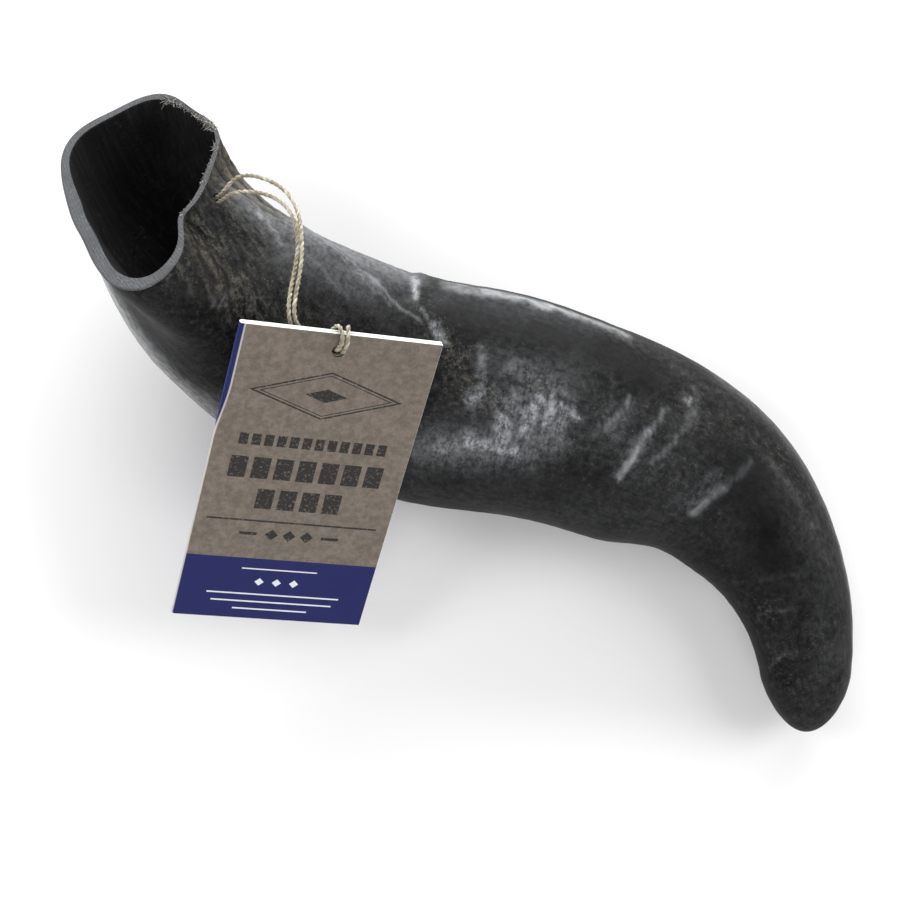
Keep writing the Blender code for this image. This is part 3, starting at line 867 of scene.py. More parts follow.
class Wiring:
    """Adds nodes to a node tree from left to right, and wires them up."""

    def __init__(self, tree):
        self.tree = tree
        self.count = 0

    def node(self, kind, *values, **settings):
        """A new node, with its first inputs fed in turn."""
        node = self.tree.nodes.new(kind)
        node.location = (200 * (self.count // 4), -220 * (self.count % 4))
        self.count += 1
        for name, value in settings.items():
            setattr(node, name, value)
        for socket, value in zip(node.inputs, values):
            self.feed(socket, value)
        return node

    def feed(self, socket, value):
        if isinstance(value, bpy.types.NodeSocket):
            self.tree.links.new(value, socket)
        elif socket.type == "RGBA":
            socket.default_value = (*value, 1.0)[:4]
        else:
            socket.default_value = value

    def feed_all(self, sockets, **values):
        """Feeds sockets by name, with _ for each space in it."""
        for name, value in values.items():
            self.feed(sockets[name.replace("_", " ")], value)

    def attribute(self, name, output="Fac"):
        node = self.node("ShaderNodeAttribute", attribute_name=name, attribute_type="GEOMETRY")
        return node.outputs[output]

    def maths(self, operation, first, second=0.0, clamp=False):
        node = self.node("ShaderNodeMath", first, second, operation=operation, use_clamp=clamp)
        return node.outputs[0]

    def times(self, first, second, clamp=False):
        return self.maths("MULTIPLY", first, second, clamp)

    def plus(self, first, second):
        return self.maths("ADD", first, second)

    def minus(self, first, second):
        return self.maths("SUBTRACT", first, second)

    def apart(self, first, second):
        """How far the two numbers are from each other."""
        return self.maths("ABSOLUTE", self.minus(first, second))

    def largest(self, value, *others):
        for other in others:
            value = self.maths("MAXIMUM", value, other)
        return value

    def total(self, *parts):
        """The sum of the parts, each a value and its weight."""
        products = [self.times(value, weight) for value, weight in parts]
        result = products[0]
        for product in products[1:]:
            result = self.plus(result, product)
        return result

    def vector(self, operation, first, second):
        return self.node("ShaderNodeVectorMath", first, second, operation=operation).outputs[0]

    def spread(self, value, low, high, to_low=0.0, to_high=1.0):
        """Maps low..high to to_low..to_high, smoothly and without overshoot."""
        limits = (low, high, to_low, to_high)
        node = self.node("ShaderNodeMapRange", value, *limits, interpolation_type="SMOOTHSTEP")
        return node.outputs[0]

    def below(self, value, limit, blur):
        """1 under the limit, 0 over it, with a soft edge."""
        return self.spread(value, limit - blur, limit + blur, 1.0, 0.0)

    def broken(self, mask, grain, low, high, least=0.0, most=1.0):
        """The mask broken up by a grain: weakened to its least share where the grain is low."""
        return self.times(mask, self.spread(grain, low, high, least, most), clamp=True)

    def mix(self, share, first, second):
        node = self.node("ShaderNodeMix", share, data_type="RGBA")
        self.feed(node.inputs[6], first)
        self.feed(node.inputs[7], second)
        return node.outputs[2]

    def tint(self, colour, mask, strength, other):
        """The colour with some of the other over it where the mask is."""
        return self.mix(self.times(mask, strength), colour, other)

    def blend(self, share, first, second):
        node = self.node("ShaderNodeMix", share, data_type="FLOAT")
        self.feed(node.inputs[2], first)
        self.feed(node.inputs[3], second)
        return node.outputs[0]

    def noise(self, place, scale=1.0, detail=3.0, roughness=0.55, distortion=0.0):
        node = self.node("ShaderNodeTexNoise")
        self.feed_all(
            node.inputs, Vector=place, Scale=scale, Detail=detail, Roughness=roughness,
            Distortion=distortion,
        )
        return node.outputs["Fac"]

    def group(self, name, **inputs):
        node = self.node("ShaderNodeGroup")
        node.node_tree = bpy.data.node_groups[name]
        self.feed_all(node.inputs, **inputs)
        return node.outputs[0]

    def bump(self, height, strength=1.0):
        """A bump whose heights are in millimetres."""
        node = self.node("ShaderNodeBump")
        self.feed_all(node.inputs, Distance=MM, Strength=strength, Height=height)
        return node.outputs["Normal"]


def new_group(name, output, **inputs):
    """An empty node group with named sockets, as (wiring, inputs, output socket)."""
    tree = bpy.data.node_groups.new(name, "ShaderNodeTree")
    for socket, value in inputs.items():
        socket = socket.replace("_", " ")
        kind = "NodeSocketVector" if value is None else "NodeSocketFloat"
        made = tree.interface.new_socket(name=socket, in_out="INPUT", socket_type=kind)
        if value is not None:
            made.default_value = value
    tree.interface.new_socket(name=output, in_out="OUTPUT", socket_type="NodeSocketFloat")
    wiring = Wiring(tree)
    entry = wiring.node("NodeGroupInput")
    leave = tree.nodes.new("NodeGroupOutput")
    leave.location = (1400, 0)
    return wiring, entry.outputs, leave.inputs[0]


def make_groups():
    """The effects that more than one material uses."""
    wiring, given, result = new_group("Patches", "Mask", Place=None, Size=10.0, Low=0.45, High=0.6)
    grain = wiring.noise(given["Place"], wiring.maths("DIVIDE", 1.0, given["Size"]), 4.0, 0.6, 0.4)
    wiring.feed(result, wiring.spread(grain, given["Low"], given["High"]))

    wiring, given, result = new_group("Long Grain", "Height", Place=None, Width=1.0, Length=20.0)
    size = wiring.node("ShaderNodeCombineXYZ", given["Width"], given["Width"], given["Length"])
    stretched = wiring.vector("DIVIDE", given["Place"], size.outputs[0])
    wiring.feed(result, wiring.noise(stretched, 1.0, 3.0, 0.6))

    wiring, given, result = new_group("Specks", "Mask", Place=None, Size=2.0, Share=0.3)
    cells = wiring.node("ShaderNodeTexVoronoi")
    scale = wiring.maths("DIVIDE", 1.0, given["Size"])
    wiring.feed_all(cells.inputs, Vector=given["Place"], Scale=scale)
    lump = wiring.noise(given["Place"], wiring.maths("DIVIDE", 2.3, given["Size"]), 2.0)
    near = wiring.plus(cells.outputs["Distance"], wiring.times(lump, 0.5))
    edge = wiring.plus(given["Share"], 0.22)
    wiring.feed(result, wiring.spread(near, given["Share"], edge, 1.0, 0.0))

    wiring, given, result = new_group(
        "Printed Bar", "Mask", Place=None, Across=0.0, Up=0.0, Half_Width=10.0, Half_Height=1.0
    )
    place = wiring.node("ShaderNodeSeparateXYZ", given["Place"])
    sides = []
    for axis, middle, half in ((0, "Across", "Half Width"), (1, "Up", "Half Height")):
        past = wiring.minus(wiring.apart(place.outputs[axis], given[middle]), given[half])
        sides.append(wiring.below(past, 0.0, PRINT_BLUR))
    wiring.feed(result, wiring.times(*sides))


def new_material(name, **values):
    """A material whose shader has these values, as (material, wiring, shader inputs)."""
    material = bpy.data.materials.new(name)
    material.use_nodes = True
    tree = material.node_tree
    shader = tree.nodes["Principled BSDF"]
    shader.location = (2200, 0)
    tree.nodes["Material Output"].location = (2500, 0)
    wiring = Wiring(tree)
    wiring.feed_all(shader.inputs, **values)
    return material, wiring, shader.inputs


def horn_skin_material(look):
    material, wiring, shader = new_material(
        "horn_skin", Specular_IOR_Level=look.gloss, Coat_Roughness=0.2
    )
    place = wiring.attribute("horn_place", "Vector")
    soiled, polished, shade_and_smooth, barked = (
        wiring.attribute(name) for name in ("soiled", "polished", "shade_and_smooth", "barked")
    )
    cloud = wiring.noise(place, 0.06, 4.0, 0.6)
    mottle = wiring.noise(place, 0.45, 5.0, 0.68, 0.3)
    fine = wiring.noise(place, 1.2, 3.0, 0.7)
    fibre = wiring.group("Long Grain", Place=place, Width=1.0, Length=14.0)
    ring = wiring.group("Long Grain", Place=place, Width=9.0, Length=1.2)
    tone = wiring.total((cloud, 0.4), (mottle, 0.6), (fibre, 0.14), (fine, 0.2))
    colour = wiring.mix(wiring.spread(tone, 0.52, 0.9), look.dark_colour, look.light_colour)
    # Worn skin and painted sheen are paler, in soft patches that the grain breaks up, and the
    # stretches of painted shade are darker.
    grain = wiring.total((mottle, 0.7), (fibre, 0.3))
    worn_and_sheen = wiring.broken(wiring.attribute("hazed_and_sheen"), grain, 0.32, 0.7, 0.3)
    colour = wiring.mix(worn_and_sheen, colour, look.worn_and_sheen_colour)
    # Painted shade: the marked stretches turn nearly black.
    painted_shade = wiring.broken(shade_and_smooth, cloud, 0.3, 0.6, 1.0, 0.7)
    colour = wiring.mix(painted_shade, colour, look.dark_colour)
    # Specks of dried skin, thicker where the skin is rough, with a thin scatter all over.
    cluster = wiring.group("Patches", Place=place, Size=8.0, Low=0.4, High=0.62)
    crowd = wiring.total((soiled, 0.12), (cluster, 0.05), (shade_and_smooth, -0.12))
    blot = wiring.spread(wiring.plus(mottle, crowd), 0.62, 0.78)
    speck = wiring.spread(wiring.plus(fine, crowd), 0.66, 0.78)
    soil = wiring.largest(speck, wiring.times(blot, 0.7))
    soil = wiring.times(soil, wiring.blend(soiled, 0.4, 0.8), clamp=True)
    colour = wiring.mix(soil, colour, look.soil_colour)
    fleck = wiring.spread(wiring.plus(fine, wiring.times(crowd, 0.5)), 0.72, 0.8)
    colour = wiring.tint(colour, fleck, 0.65, look.fleck_colour)
    # Dry scuffs and painted highlights show grey in soft, broken smears.
    smear = wiring.group("Long Grain", Place=place, Width=3.4, Length=1.1)
    smear = wiring.total((smear, 0.32), (mottle, 0.46), (fine, 0.22))
    dusty_and_highlit = wiring.broken(wiring.attribute("scuffed_and_highlit"), smear, 0.38, 0.66, 0.12)
    colour = wiring.mix(dusty_and_highlit, colour, look.scuff_and_highlight_colour)
    # Painted highlights along the growth rings' crests and other fine lines.
    highlight_lines = wiring.broken(wiring.attribute("highlight_lines"), grain, 0.3, 0.6, 0.6)
    colour = wiring.mix(highlight_lines, colour, look.ring_highlight_colour)
    # Rough skin near the cut has a slanting grain, with painted shade in its cracks and painted
    # highlights on its ridges.
    bark = wiring.attribute("bark_place", "Vector")
    bark = wiring.group("Long Grain", Place=bark, Width=1.7, Length=6.0)
    ridge = wiring.broken(barked, bark, 0.5, 0.72)
    colour = wiring.tint(colour, ridge, 0.7, look.ridge_highlight_colour)
    flaked = wiring.broken(wiring.attribute("browned"), mottle, 0.4, 0.58, 0.15)
    colour = wiring.mix(flaked, colour, look.brown_colour)
    crack_shade = wiring.broken(barked, bark, 0.36, 0.48, 1.25, 0.0)
    crack_shade = wiring.largest(crack_shade, wiring.attribute("furrowed"))
    wiring.feed(shader["Base Color"], wiring.tint(colour, crack_shade, 0.9, look.dark_colour))
    rough = wiring.spread(wiring.plus(cloud, wiring.times(mottle, 0.5)), 0.5, 1.0, 0.4, 0.62)
    rough = wiring.blend(polished, rough, 0.3)
    wiring.feed(shader["Roughness"], wiring.blend(wiring.largest(soil, dusty_and_highlit), rough, 0.8))
    wiring.feed(shader["Coat Weight"], wiring.broken(polished, mottle, 0.35, 0.6, 0.3))
    height = wiring.total(
        (fibre, 0.04),
        (ring, 0.05),
        (fine, wiring.blend(soiled, 0.05, 0.2)),
        (mottle, wiring.blend(soiled, 0.14, 0.6)),
        (soil, 0.06),
        (wiring.times(bark, barked), 0.7),
    )
    wiring.feed(shader["Normal"], wiring.bump(height, 0.9))
    return material


def horn_sawn_material(look):
    material, wiring, shader = new_material("horn_sawn")
    place = wiring.attribute("horn_place", "Vector")
    torn = wiring.attribute("torn")
    layers = wiring.group("Long Grain", Place=place, Width=0.7, Length=3.0)
    stain = wiring.group("Patches", Place=place, Size=9.0, Low=0.42, High=0.68)
    marks = wiring.group("Specks", Place=place, Size=1.4, Share=0.2)
    mottle = wiring.noise(place, 1.1, 3.0, 0.65)
    kerf = wiring.node("ShaderNodeTexWave", wave_type="BANDS", bands_direction="X")
    wiring.feed_all(kerf.inputs, Vector=place, Scale=0.32, Distortion=2.0, Detail=2.0)
    saw = wiring.broken(kerf.outputs["Fac"], mottle, 0.4, 0.6)
    # The outer skin shows as a dark border, and the torn stretch is rough and stained.
    border = wiring.plus(wiring.attribute("border"), wiring.times(mottle, 0.3))
    border = wiring.spread(border, 0.72, 1.02)
    colour = wiring.mix(wiring.spread(layers, 0.35, 0.7), look.sawn_colour, look.sawn_light_colour)
    for mask, strength in ((saw, 0.85), (stain, 0.5), (marks, 0.6), (border, 0.8)):
        colour = wiring.tint(colour, mask, strength, look.sawn_dark_colour)
    ragged = wiring.broken(torn, mottle, 0.36, 0.56, 0.25)
    wiring.feed(shader["Base Color"], wiring.mix(ragged, colour, look.torn_colour))
    wiring.feed(shader["Roughness"], wiring.spread(layers, 0.3, 0.7, 0.55, 0.75))
    height = wiring.total((layers, 0.14), (marks, -0.1), (saw, -0.15), (torn, mottle))
    wiring.feed(shader["Normal"], wiring.bump(height, 0.8))
    return material


def horn_hollow_material(look):
    material, wiring, shader = new_material("horn_hollow", Roughness=0.8, Specular_IOR_Level=0.15)
    place = wiring.attribute("horn_place", "Vector")
    fibre = wiring.group("Long Grain", Place=place, Width=1.6, Length=18.0)
    patches = wiring.group("Patches", Place=place, Size=12.0, Low=0.45, High=0.66)
    flecks = wiring.spread(wiring.noise(place, 0.7, 4.0, 0.7), 0.5, 0.75)
    tone = wiring.spread(fibre, 0.4, 0.7)
    colour = wiring.mix(tone, look.hollow_colour, look.hollow_light_colour)
    colour = wiring.tint(colour, wiring.times(flecks, patches), 0.6, look.hollow_fleck_colour)
    wiring.feed(shader["Base Color"], colour)
    wiring.feed(shader["Normal"], wiring.bump(wiring.total((fibre, 0.5), (flecks, 0.2))))
    return material


def fibre_material(look):
    material, wiring, shader = new_material("torn_fibre", Roughness=0.8)
    place = wiring.attribute("fibre_place", "Vector")
    tone = wiring.spread(wiring.group("Long Grain", Place=place, Width=0.5, Length=4.0), 0.42, 0.62)
    wiring.feed(shader["Base Color"], wiring.mix(tone, look.fibre_dark_colour, look.fibre_colour))
    return material


def twine_material(look):
    material, wiring, shader = new_material(
        "jute", Roughness=0.78, Sheen_Weight=0.35, Sheen_Roughness=0.5
    )
    place = wiring.attribute("fibre_place", "Vector")
    strands = wiring.group("Long Grain", Place=place, Width=0.16, Length=3.0)
    patches = wiring.group("Patches", Place=place, Size=5.0, Low=0.4, High=0.65)
    bleached = wiring.group("Patches", Place=place, Size=8.0, Low=0.48, High=0.62)
    colour = wiring.mix(wiring.spread(strands, 0.3, 0.7), look.dark_colour, look.light_colour)
    colour = wiring.tint(colour, bleached, 0.55, look.bleached_colour)
    wiring.feed(shader["Base Color"], wiring.tint(colour, patches, 0.45, look.dark_colour))
    wiring.feed(shader["Normal"], wiring.bump(wiring.times(strands, 0.14)))
    return material


def card_paper(wiring, place):
    """Soft blotches and fine paper fibres, as (dark to light share, height in mm)."""
    fibre = wiring.noise(place, 1.5, 3.0, 0.6, 0.8)
    share = wiring.total((wiring.noise(place, 0.45, 3.0, 0.6), 0.6), (fibre, 0.4))
    return share, wiring.times(fibre, 0.03)


def printed_bar(wiring, place, across, up, half_width, half_height):
    return wiring.group(
        "Printed Bar", Place=place, Across=across, Up=up,
        Half_Width=half_width, Half_Height=half_height,
    )


def lozenge(wiring, across, up, middle, middle_up, half_width, half_height, line=None):
    """A printed lozenge: filled, or an outline where it has a line width."""
    reach = wiring.plus(
        wiring.maths("DIVIDE", wiring.apart(across, middle), half_width),
        wiring.maths("DIVIDE", wiring.apart(up, middle_up), half_height),
    )
    if line is None:
        return wiring.below(reach, 1.0, 0.04)
    half = line / half_height / 2
    return wiring.spread(wiring.apart(reach, 1.0), half, half * 1.5, 1.0, 0.0)


def card_print_material(look):
    """The printed outside: kraft with plain rules, over a dark blue band."""
    material, wiring, shader = new_material("card_print", Specular_IOR_Level=0.2)
    place = wiring.attribute("card_place", "Vector")
    across, up, depth = wiring.node("ShaderNodeSeparateXYZ", place).outputs
    fibre, height = card_paper(wiring, place)
    kraft = wiring.mix(wiring.spread(fibre, 0.36, 0.66), look.kraft_dark_colour, look.kraft_colour)
    flecks = wiring.group("Specks", Place=place, Size=1.3, Share=0.16)
    kraft = wiring.tint(kraft, flecks, 0.4, look.kraft_light_colour)
    # The ink, worn through in places.
    marks = [printed_bar(wiring, place, *rule) for rule in RULES]
    for middle, half_height, pitch, wide, bars in BAR_ROWS:
        half_width = (bars * pitch - pitch + wide) / 2
        row = printed_bar(wiring, place, 0.0, middle, half_width, half_height)
        shifted = wiring.plus(across, pitch / 2 if bars % 2 == 0 else 0.0)
        beside = wiring.maths("PINGPONG", shifted, pitch / 2)
        marks.append(wiring.times(row, wiring.below(beside, wide / 2, PRINT_BLUR)))
    marks += [lozenge(wiring, across, up, *figure) for figure in LOZENGES]
    wear = wiring.group("Patches", Place=place, Size=0.9, Low=0.54, High=0.68)
    ink = wiring.times(wiring.largest(*marks), wiring.minus(1.0, wiring.times(wear, 0.75)))
    front = wiring.tint(kraft, ink, 0.94, look.ink_colour)
    # The blue band, with pale rules.
    band = wiring.below(up, look.band_top / MM, PRINT_BLUR)
    pale = wiring.largest(
        *(printed_bar(wiring, place, *rule) for rule in BAND_RULES),
        *(lozenge(wiring, across, up, *figure) for figure in BAND_LOZENGES),
    )
    lighter = wiring.spread(fibre, 0.3, 0.75, 0.0, 0.35)
    blue = wiring.mix(lighter, look.band_colour, look.band_light_colour)
    front = wiring.mix(band, front, wiring.mix(pale, blue, look.band_print_colour))
    # The fold: the print is cracked to a pale line, and the back is all blue.
    crease = wiring.spread(up, CREASE_FROM, CREASE_TO, CREASE_AT_FOLD, look.crease / MM)
    line = wiring.below(wiring.apart(across, crease), 0.27, 0.15)
    turned = wiring.below(wiring.minus(across, crease), -0.2, 0.1)
    behind = wiring.below(depth, 0.0, 0.2)
    colour = wiring.mix(wiring.largest(turned, behind), front, blue)
    wiring.feed(shader["Base Color"], wiring.tint(colour, line, 0.75, look.crease_colour))
    rough = wiring.spread(fibre, 0.3, 0.7, 0.72, 0.85)
    rough = wiring.blend(wiring.largest(band, turned, behind), rough, 0.55)
    wiring.feed(shader["Roughness"], rough)
    wiring.feed(shader["Normal"], wiring.bump(height))
    return material


def card_inside_material(look):
    material, wiring, shader = new_material("card_inside", Roughness=0.8)
    fibre, height = card_paper(wiring, wiring.attribute("card_place", "Vector"))
    tone = wiring.spread(fibre, 0.3, 0.7)
    wiring.feed(shader["Base Color"], wiring.mix(tone, look.inside_colour, look.edge_colour))
    wiring.feed(shader["Normal"], wiring.bump(height))
    return material


def card_edge_material(look):
    material, wiring, shader = new_material("card_edge", Roughness=0.85)
    layers = wiring.vector("MULTIPLY", wiring.attribute("card_place", "Vector"), (0.5, 0.5, 7.0))
    ply = wiring.noise(layers, 1.0, 3.0, 0.6)
    tone = wiring.spread(ply, 0.35, 0.65)
    wiring.feed(shader["Base Color"], wiring.mix(tone, look.edge_dark_colour, look.edge_colour))
    wiring.feed(shader["Normal"], wiring.bump(wiring.times(ply, 0.08)))
    return material


def punched_hole_shade_material(look):
    """The wall of the punched hole, painted dark as shade."""
    material, wiring, shader = new_material("card_hole_shade", Roughness=0.9, Specular_IOR_Level=0.1)
    shade_tone = wiring.noise(wiring.attribute("card_place", "Vector"), 2.0, 3.0, 0.6)
    wiring.feed(shader["Base Color"], wiring.mix(shade_tone, look.ink_colour, look.kraft_dark_colour))
    return material


# ------------------------------------------------------------------- settings


def number(name, description, default, **limits):
    return FloatProperty(name=name, description=description, default=default, **limits)


def length(name, description, default):
    return number(name, description, default, unit="LENGTH")


def count(name, description, default, least, **limits):
    return IntProperty(name=name, description=description, default=default, min=least, **limits)


def colour(name, description, *default):
    return FloatVectorProperty(
        name=name, description=description, default=default,
        subtype="COLOR", size=3, min=0.0, max=1.0,
    )


class HornLook(bpy.types.PropertyGroup):
    """Sizes and colours of the horn."""

    sides: count("Sides", "Points round each section", 272, 24, max=300)
    body_rows: count("Body rows", "Sections from the cut to the tip", 262, 40)
    nose_rows: count("Tip rows", "Sections over the rounded tip", 24, 6)
    hollow_rows: count("Hollow rows", "Sections of the hollow", 40, 8)
    edge_round: length("Edge round", "How far the sawn edges are broken", 0.0003)
    lump_height: length("Lumps", "How far the skin swells and dips", 0.0004)
    flake_height: length("Flakes", "How rough the dried skin near the cut is", 0.0003)
    bark_height: length("Bark", "How high the slanting grain near the cut stands", 0.00055)
    furrow_depth: length("Furrows", "How deep the furrows near the cut are", 0.0008)
    streak_height: length("Streaks", "Depth of the fine grooves along the horn", 0.00005)
    ripple_height: length("Ripples", "Height of the faint rings round the horn", 0.00008)
    gloss: number("Gloss", "How strongly the skin reflects", 0.08, min=0.0, max=1.0)
    dark_colour: colour("Dark horn", "The horn's darkest skin", 0.003, 0.0031, 0.0033)
    light_colour: colour("Light horn", "The horn's lighter skin", 0.028, 0.0283, 0.028)
    # Paler skin: worn skin, and painted sheen.
    worn_and_sheen_colour: colour("Worn horn", "Worn, paler skin", 0.15, 0.155, 0.165)
    # Dry scuffs, and painted highlights.
    scuff_and_highlight_colour: colour("Scuffed horn", "Dry scuffs on the skin", 0.36, 0.372, 0.39)
    # Painted highlights along the growth rings' crests.
    ring_highlight_colour: colour("Ring lines", "The fine pale lines of the growth rings", 0.27, 0.28, 0.29)
    brown_colour: colour("Brown horn", "Brown, flaking skin next to the torn rim", 0.1, 0.087, 0.06)
    soil_colour: colour("Soil", "Dried skin and soil", 0.08, 0.076, 0.06)
    fleck_colour: colour("Flecks", "Pale flecks of dried skin", 0.22, 0.21, 0.17)
    # Painted highlights on the slanting grain's ridges.
    ridge_highlight_colour: colour("Ridges", "The slanting grain's pale ridges", 0.085, 0.082, 0.072)
    fibre_colour: colour("Torn fibre", "Pale torn fibres at the rim", 0.46, 0.45, 0.42)
    fibre_dark_colour: colour("Dark torn fibre", "Dark torn fibres at the rim", 0.035, 0.03, 0.023)
    sawn_colour: colour("Sawn horn", "The flat sawn rim", 0.036, 0.039, 0.044)
    sawn_light_colour: colour("Light sawn horn", "The rim's lighter layers", 0.08, 0.087, 0.096)
    sawn_dark_colour: colour("Dark sawn horn", "The rim's stains", 0.018, 0.019, 0.02)
    torn_colour: colour("Torn horn", "The rim's torn stretch", 0.014, 0.0125, 0.01)
    hollow_colour: colour("Hollow", "The hollow's wall", 0.003, 0.003, 0.003)
    hollow_light_colour: colour("Light hollow", "The hollow's lighter grain", 0.009, 0.0085, 0.008)
    hollow_fleck_colour: colour("Hollow flecks", "Pale flecks in the hollow", 0.045, 0.045, 0.043)


class TwineLook(bpy.types.PropertyGroup):
    """Sizes and colours of the twine."""

    diameter: length("Diameter", "The twine's real diameter", TWINE_DIAMETER * MM)
    hairs: count("Hairs", "Loose fibres that stand off the twine", 420, 0)
    hair_length: length("Hair length", "Length of the longest loose fibres", 0.0016)
    light_colour: colour("Light fibre", "The twine's light fibres", 0.46, 0.395, 0.27)
    dark_colour: colour("Dark fibre", "The twine's dark fibres", 0.085, 0.066, 0.04)
    bleached_colour: colour("Bleached fibre", "The twine's palest stretches", 0.78, 0.73, 0.62)


class TagLook(bpy.types.PropertyGroup):
    """Sizes and colours of the card tag."""

    band_top: length("Band top", "Height of the blue band's top edge on the card", -0.0322)
    crease: length("Crease", "Where the print ends at the fold", -0.0312)
    kraft_colour: colour("Kraft", "The card's printed brown", 0.222, 0.186, 0.154)
    kraft_dark_colour: colour("Dark kraft", "Darker fibres", 0.141, 0.117, 0.098)
    kraft_light_colour: colour("Light kraft", "Lighter flecks", 0.29, 0.255, 0.215)
    ink_colour: colour("Ink", "Dark print", 0.022, 0.021, 0.022)
    band_colour: colour("Band", "The blue band and back", 0.009, 0.013, 0.095)
    band_light_colour: colour("Light band", "The band's lighter fibres", 0.016, 0.021, 0.13)
    band_print_colour: colour("Band print", "The print on the band", 0.72, 0.75, 0.8)
    crease_colour: colour("Cracked fold", "The core where the print is cracked", 0.6, 0.58, 0.54)
    inside_colour: colour("Card inside", "The card's unprinted side", 0.62, 0.61, 0.58)
    edge_colour: colour("Card edge", "The cut card's core", 0.85, 0.84, 0.81)
    edge_dark_colour: colour("Dark card edge", "The core's darker layers", 0.55, 0.53, 0.5)


class StageLook(bpy.types.PropertyGroup):
    """The floor, the light and the camera."""

    floor_colour: colour("Floor", "The plain floor", 0.86, 0.86, 0.86)
    surround: number("Surround", "Light from all round", 0.3, min=0.0)
    top_power: number("Top", "Power of the light at the top", 26.0, unit="POWER")
    side_power: number("Sides", "Power of the other lights", 10.0, unit="POWER")
    camera_height: length("Camera height", "Height of the camera over the floor", 0.71046)


# ------------------------------------------------------------------ operators


def area_light(name, place, aim, size, power):
    lamp = bpy.data.lights.new(name, "AREA")
    lamp.shape = "RECTANGLE"
    lamp.size, lamp.size_y = size
    lamp.energy = power
    light = bpy.data.objects.new(name, lamp)
    light.location = place
    light.rotation_euler = (Vector(aim) - Vector(place)).to_track_quat("-Z", "Y").to_euler()
    bpy.context.scene.collection.objects.link(light)
    return light


class SetStage(bpy.types.Operator):
    """Set up the camera over the horn, the pale floor and the soft light"""

    bl_idname = "buffalo_horn.set_stage"
    bl_label = "Stage"

    def execute(self, context):
        look = context.scene.stage_look
        lens = bpy.data.cameras.new("camera")
        lens.sensor_width = SENSOR
        lens.lens = LENS
        lens.clip_start = 0.01
        camera = bpy.data.objects.new("camera", lens)
        camera.location = (RESTING_PLACE[0] * MM, RESTING_PLACE[1] * MM, look.camera_height)
        context.scene.collection.objects.link(camera)
        context.scene.camera = camera
        bpy.ops.object.select_all(action="DESELECT")
        bpy.ops.mesh.primitive_plane_add(size=4.0, location=(0.0, 0.0, 0.0))
        floor = context.object
        floor.name = "floor"
        material, wiring, shader = new_material("floor", Roughness=0.9)
        place = wiring.node("ShaderNodeTexCoord").outputs["Object"]
        tone = wiring.noise(place, 6.0, 2.0)
        shade = tuple(value * 0.985 for value in look.floor_colour)
        wiring.feed(shader["Base Color"], wiring.mix(tone, look.floor_colour, shade))
        floor.data.materials.append(material)
        world = bpy.data.worlds.new("surround")
        world.use_nodes = True
        back = world.node_tree.nodes["Background"]
        back.inputs["Color"].default_value = (1.0, 1.0, 1.0, 1.0)
        back.inputs["Strength"].default_value = look.surround
        context.scene.world = world
        context.scene.view_settings.view_transform = "Standard"
        for name, light in LIGHTS.items():
            area_light(name, *light, look.top_power if name == "light_top" else look.side_power)
        return {"FINISHED"}


def twine_route():
    """The twine's route in the horn's frame, from its knot round to its knot."""
    axis = Vector(DRILLED_AXIS).normalized()
    apart = Vector(STRANDS_APART).normalized()
    hole = Vector(DRILLED_PLACE)
    heights = (-KNOT_REACH, *HOLE_HEIGHTS)
    way_out = [hole + apart * -STRAND_OFFSET + axis * height for height in heights]
    way_in = [hole + apart * STRAND_OFFSET + axis * height for height in reversed(heights)]
    tag = Matrix.LocRotScale(Vector(TAG_CENTRE), TAG_TURNED, None)
    hitch = [tag @ Vector(point) for point in HITCH_ROUTE]
    strand_out = [Vector(point) for point in STRAND_OUT]
    strand_back = [Vector(point) for point in STRAND_BACK]
    return way_out + strand_out + hitch + strand_back + way_in


def even_path(route, step):
    """Points a step apart on the smooth curve through the route."""
    route = np.array(route, float)
    along = chord_lengths(route)
    fine = spline(along, route, np.linspace(0.0, along[-1], 80 * len(route)))
    run = chord_lengths(fine)
    places = np.linspace(0.0, run[-1], max(3, round(run[-1] / step) + 1))
    return np.stack([np.interp(places, run, fine[:, axis]) for axis in range(3)], 1)


def twist_plies(heap, path, taper_ends=False):
    """Adds two plies wound round the path, and returns their centre lines."""
    run = chord_lengths(path)
    first, second = carried_frames(path)
    plies = []
    angles = np.arange(PLY_SIDES) * 2 * math.pi / PLY_SIDES
    grid = np.stack(np.broadcast_arrays(
        np.cos(angles)[None, :] * PLY_RADIUS, np.sin(angles)[None, :] * PLY_RADIUS, run[:, None]
    ), -1)
    for ply in range(2):
        turns = (run / PLY_PITCH * 2 * math.pi + ply * math.pi)[:, None]
        centre = path + PLY_OFFSET * (first * np.cos(turns) + second * np.sin(turns))
        uneven = noise_at(grid, (0.3, 0.3, 0.9), 7.0 + 11.0 * ply)
        radii = PLY_RADIUS * (1.0 + PLY_UNEVEN * uneven)
        if taper_ends:
            radii = radii * np.clip(np.minimum(run, run[-1] - run) / 0.8, 0.35, 1.0)[:, None]
        # The plies' places lie far apart, so that their colours differ.
        heap.add(*tube(centre, radii, PLY_SIDES), grid.reshape(-1, 3) + (0.0, 0.0, 500.0 * ply))
        plies.append(centre)
    return plies


def add_hair(heap, base, direction, reach, sag, radius, chance):
    """One loose fibre: a thin tapering hair that bends away."""
    shares = np.linspace(0.0, 1.0, HAIR_POINTS)[:, None]
    bend = np.clip(chance.normal(size=3), -1.2, 1.2) * sag
    path = base + direction * reach * shares + bend * reach * shares ** 2
    places = np.concatenate([np.zeros((HAIR_POINTS, 2)), shares * reach], 1)
    places = np.repeat(places, 3, axis=0) + chance.uniform(0, 90)
    heap.add(*tube(path, radius * (1.0 - 0.8 * shares), 3), places)


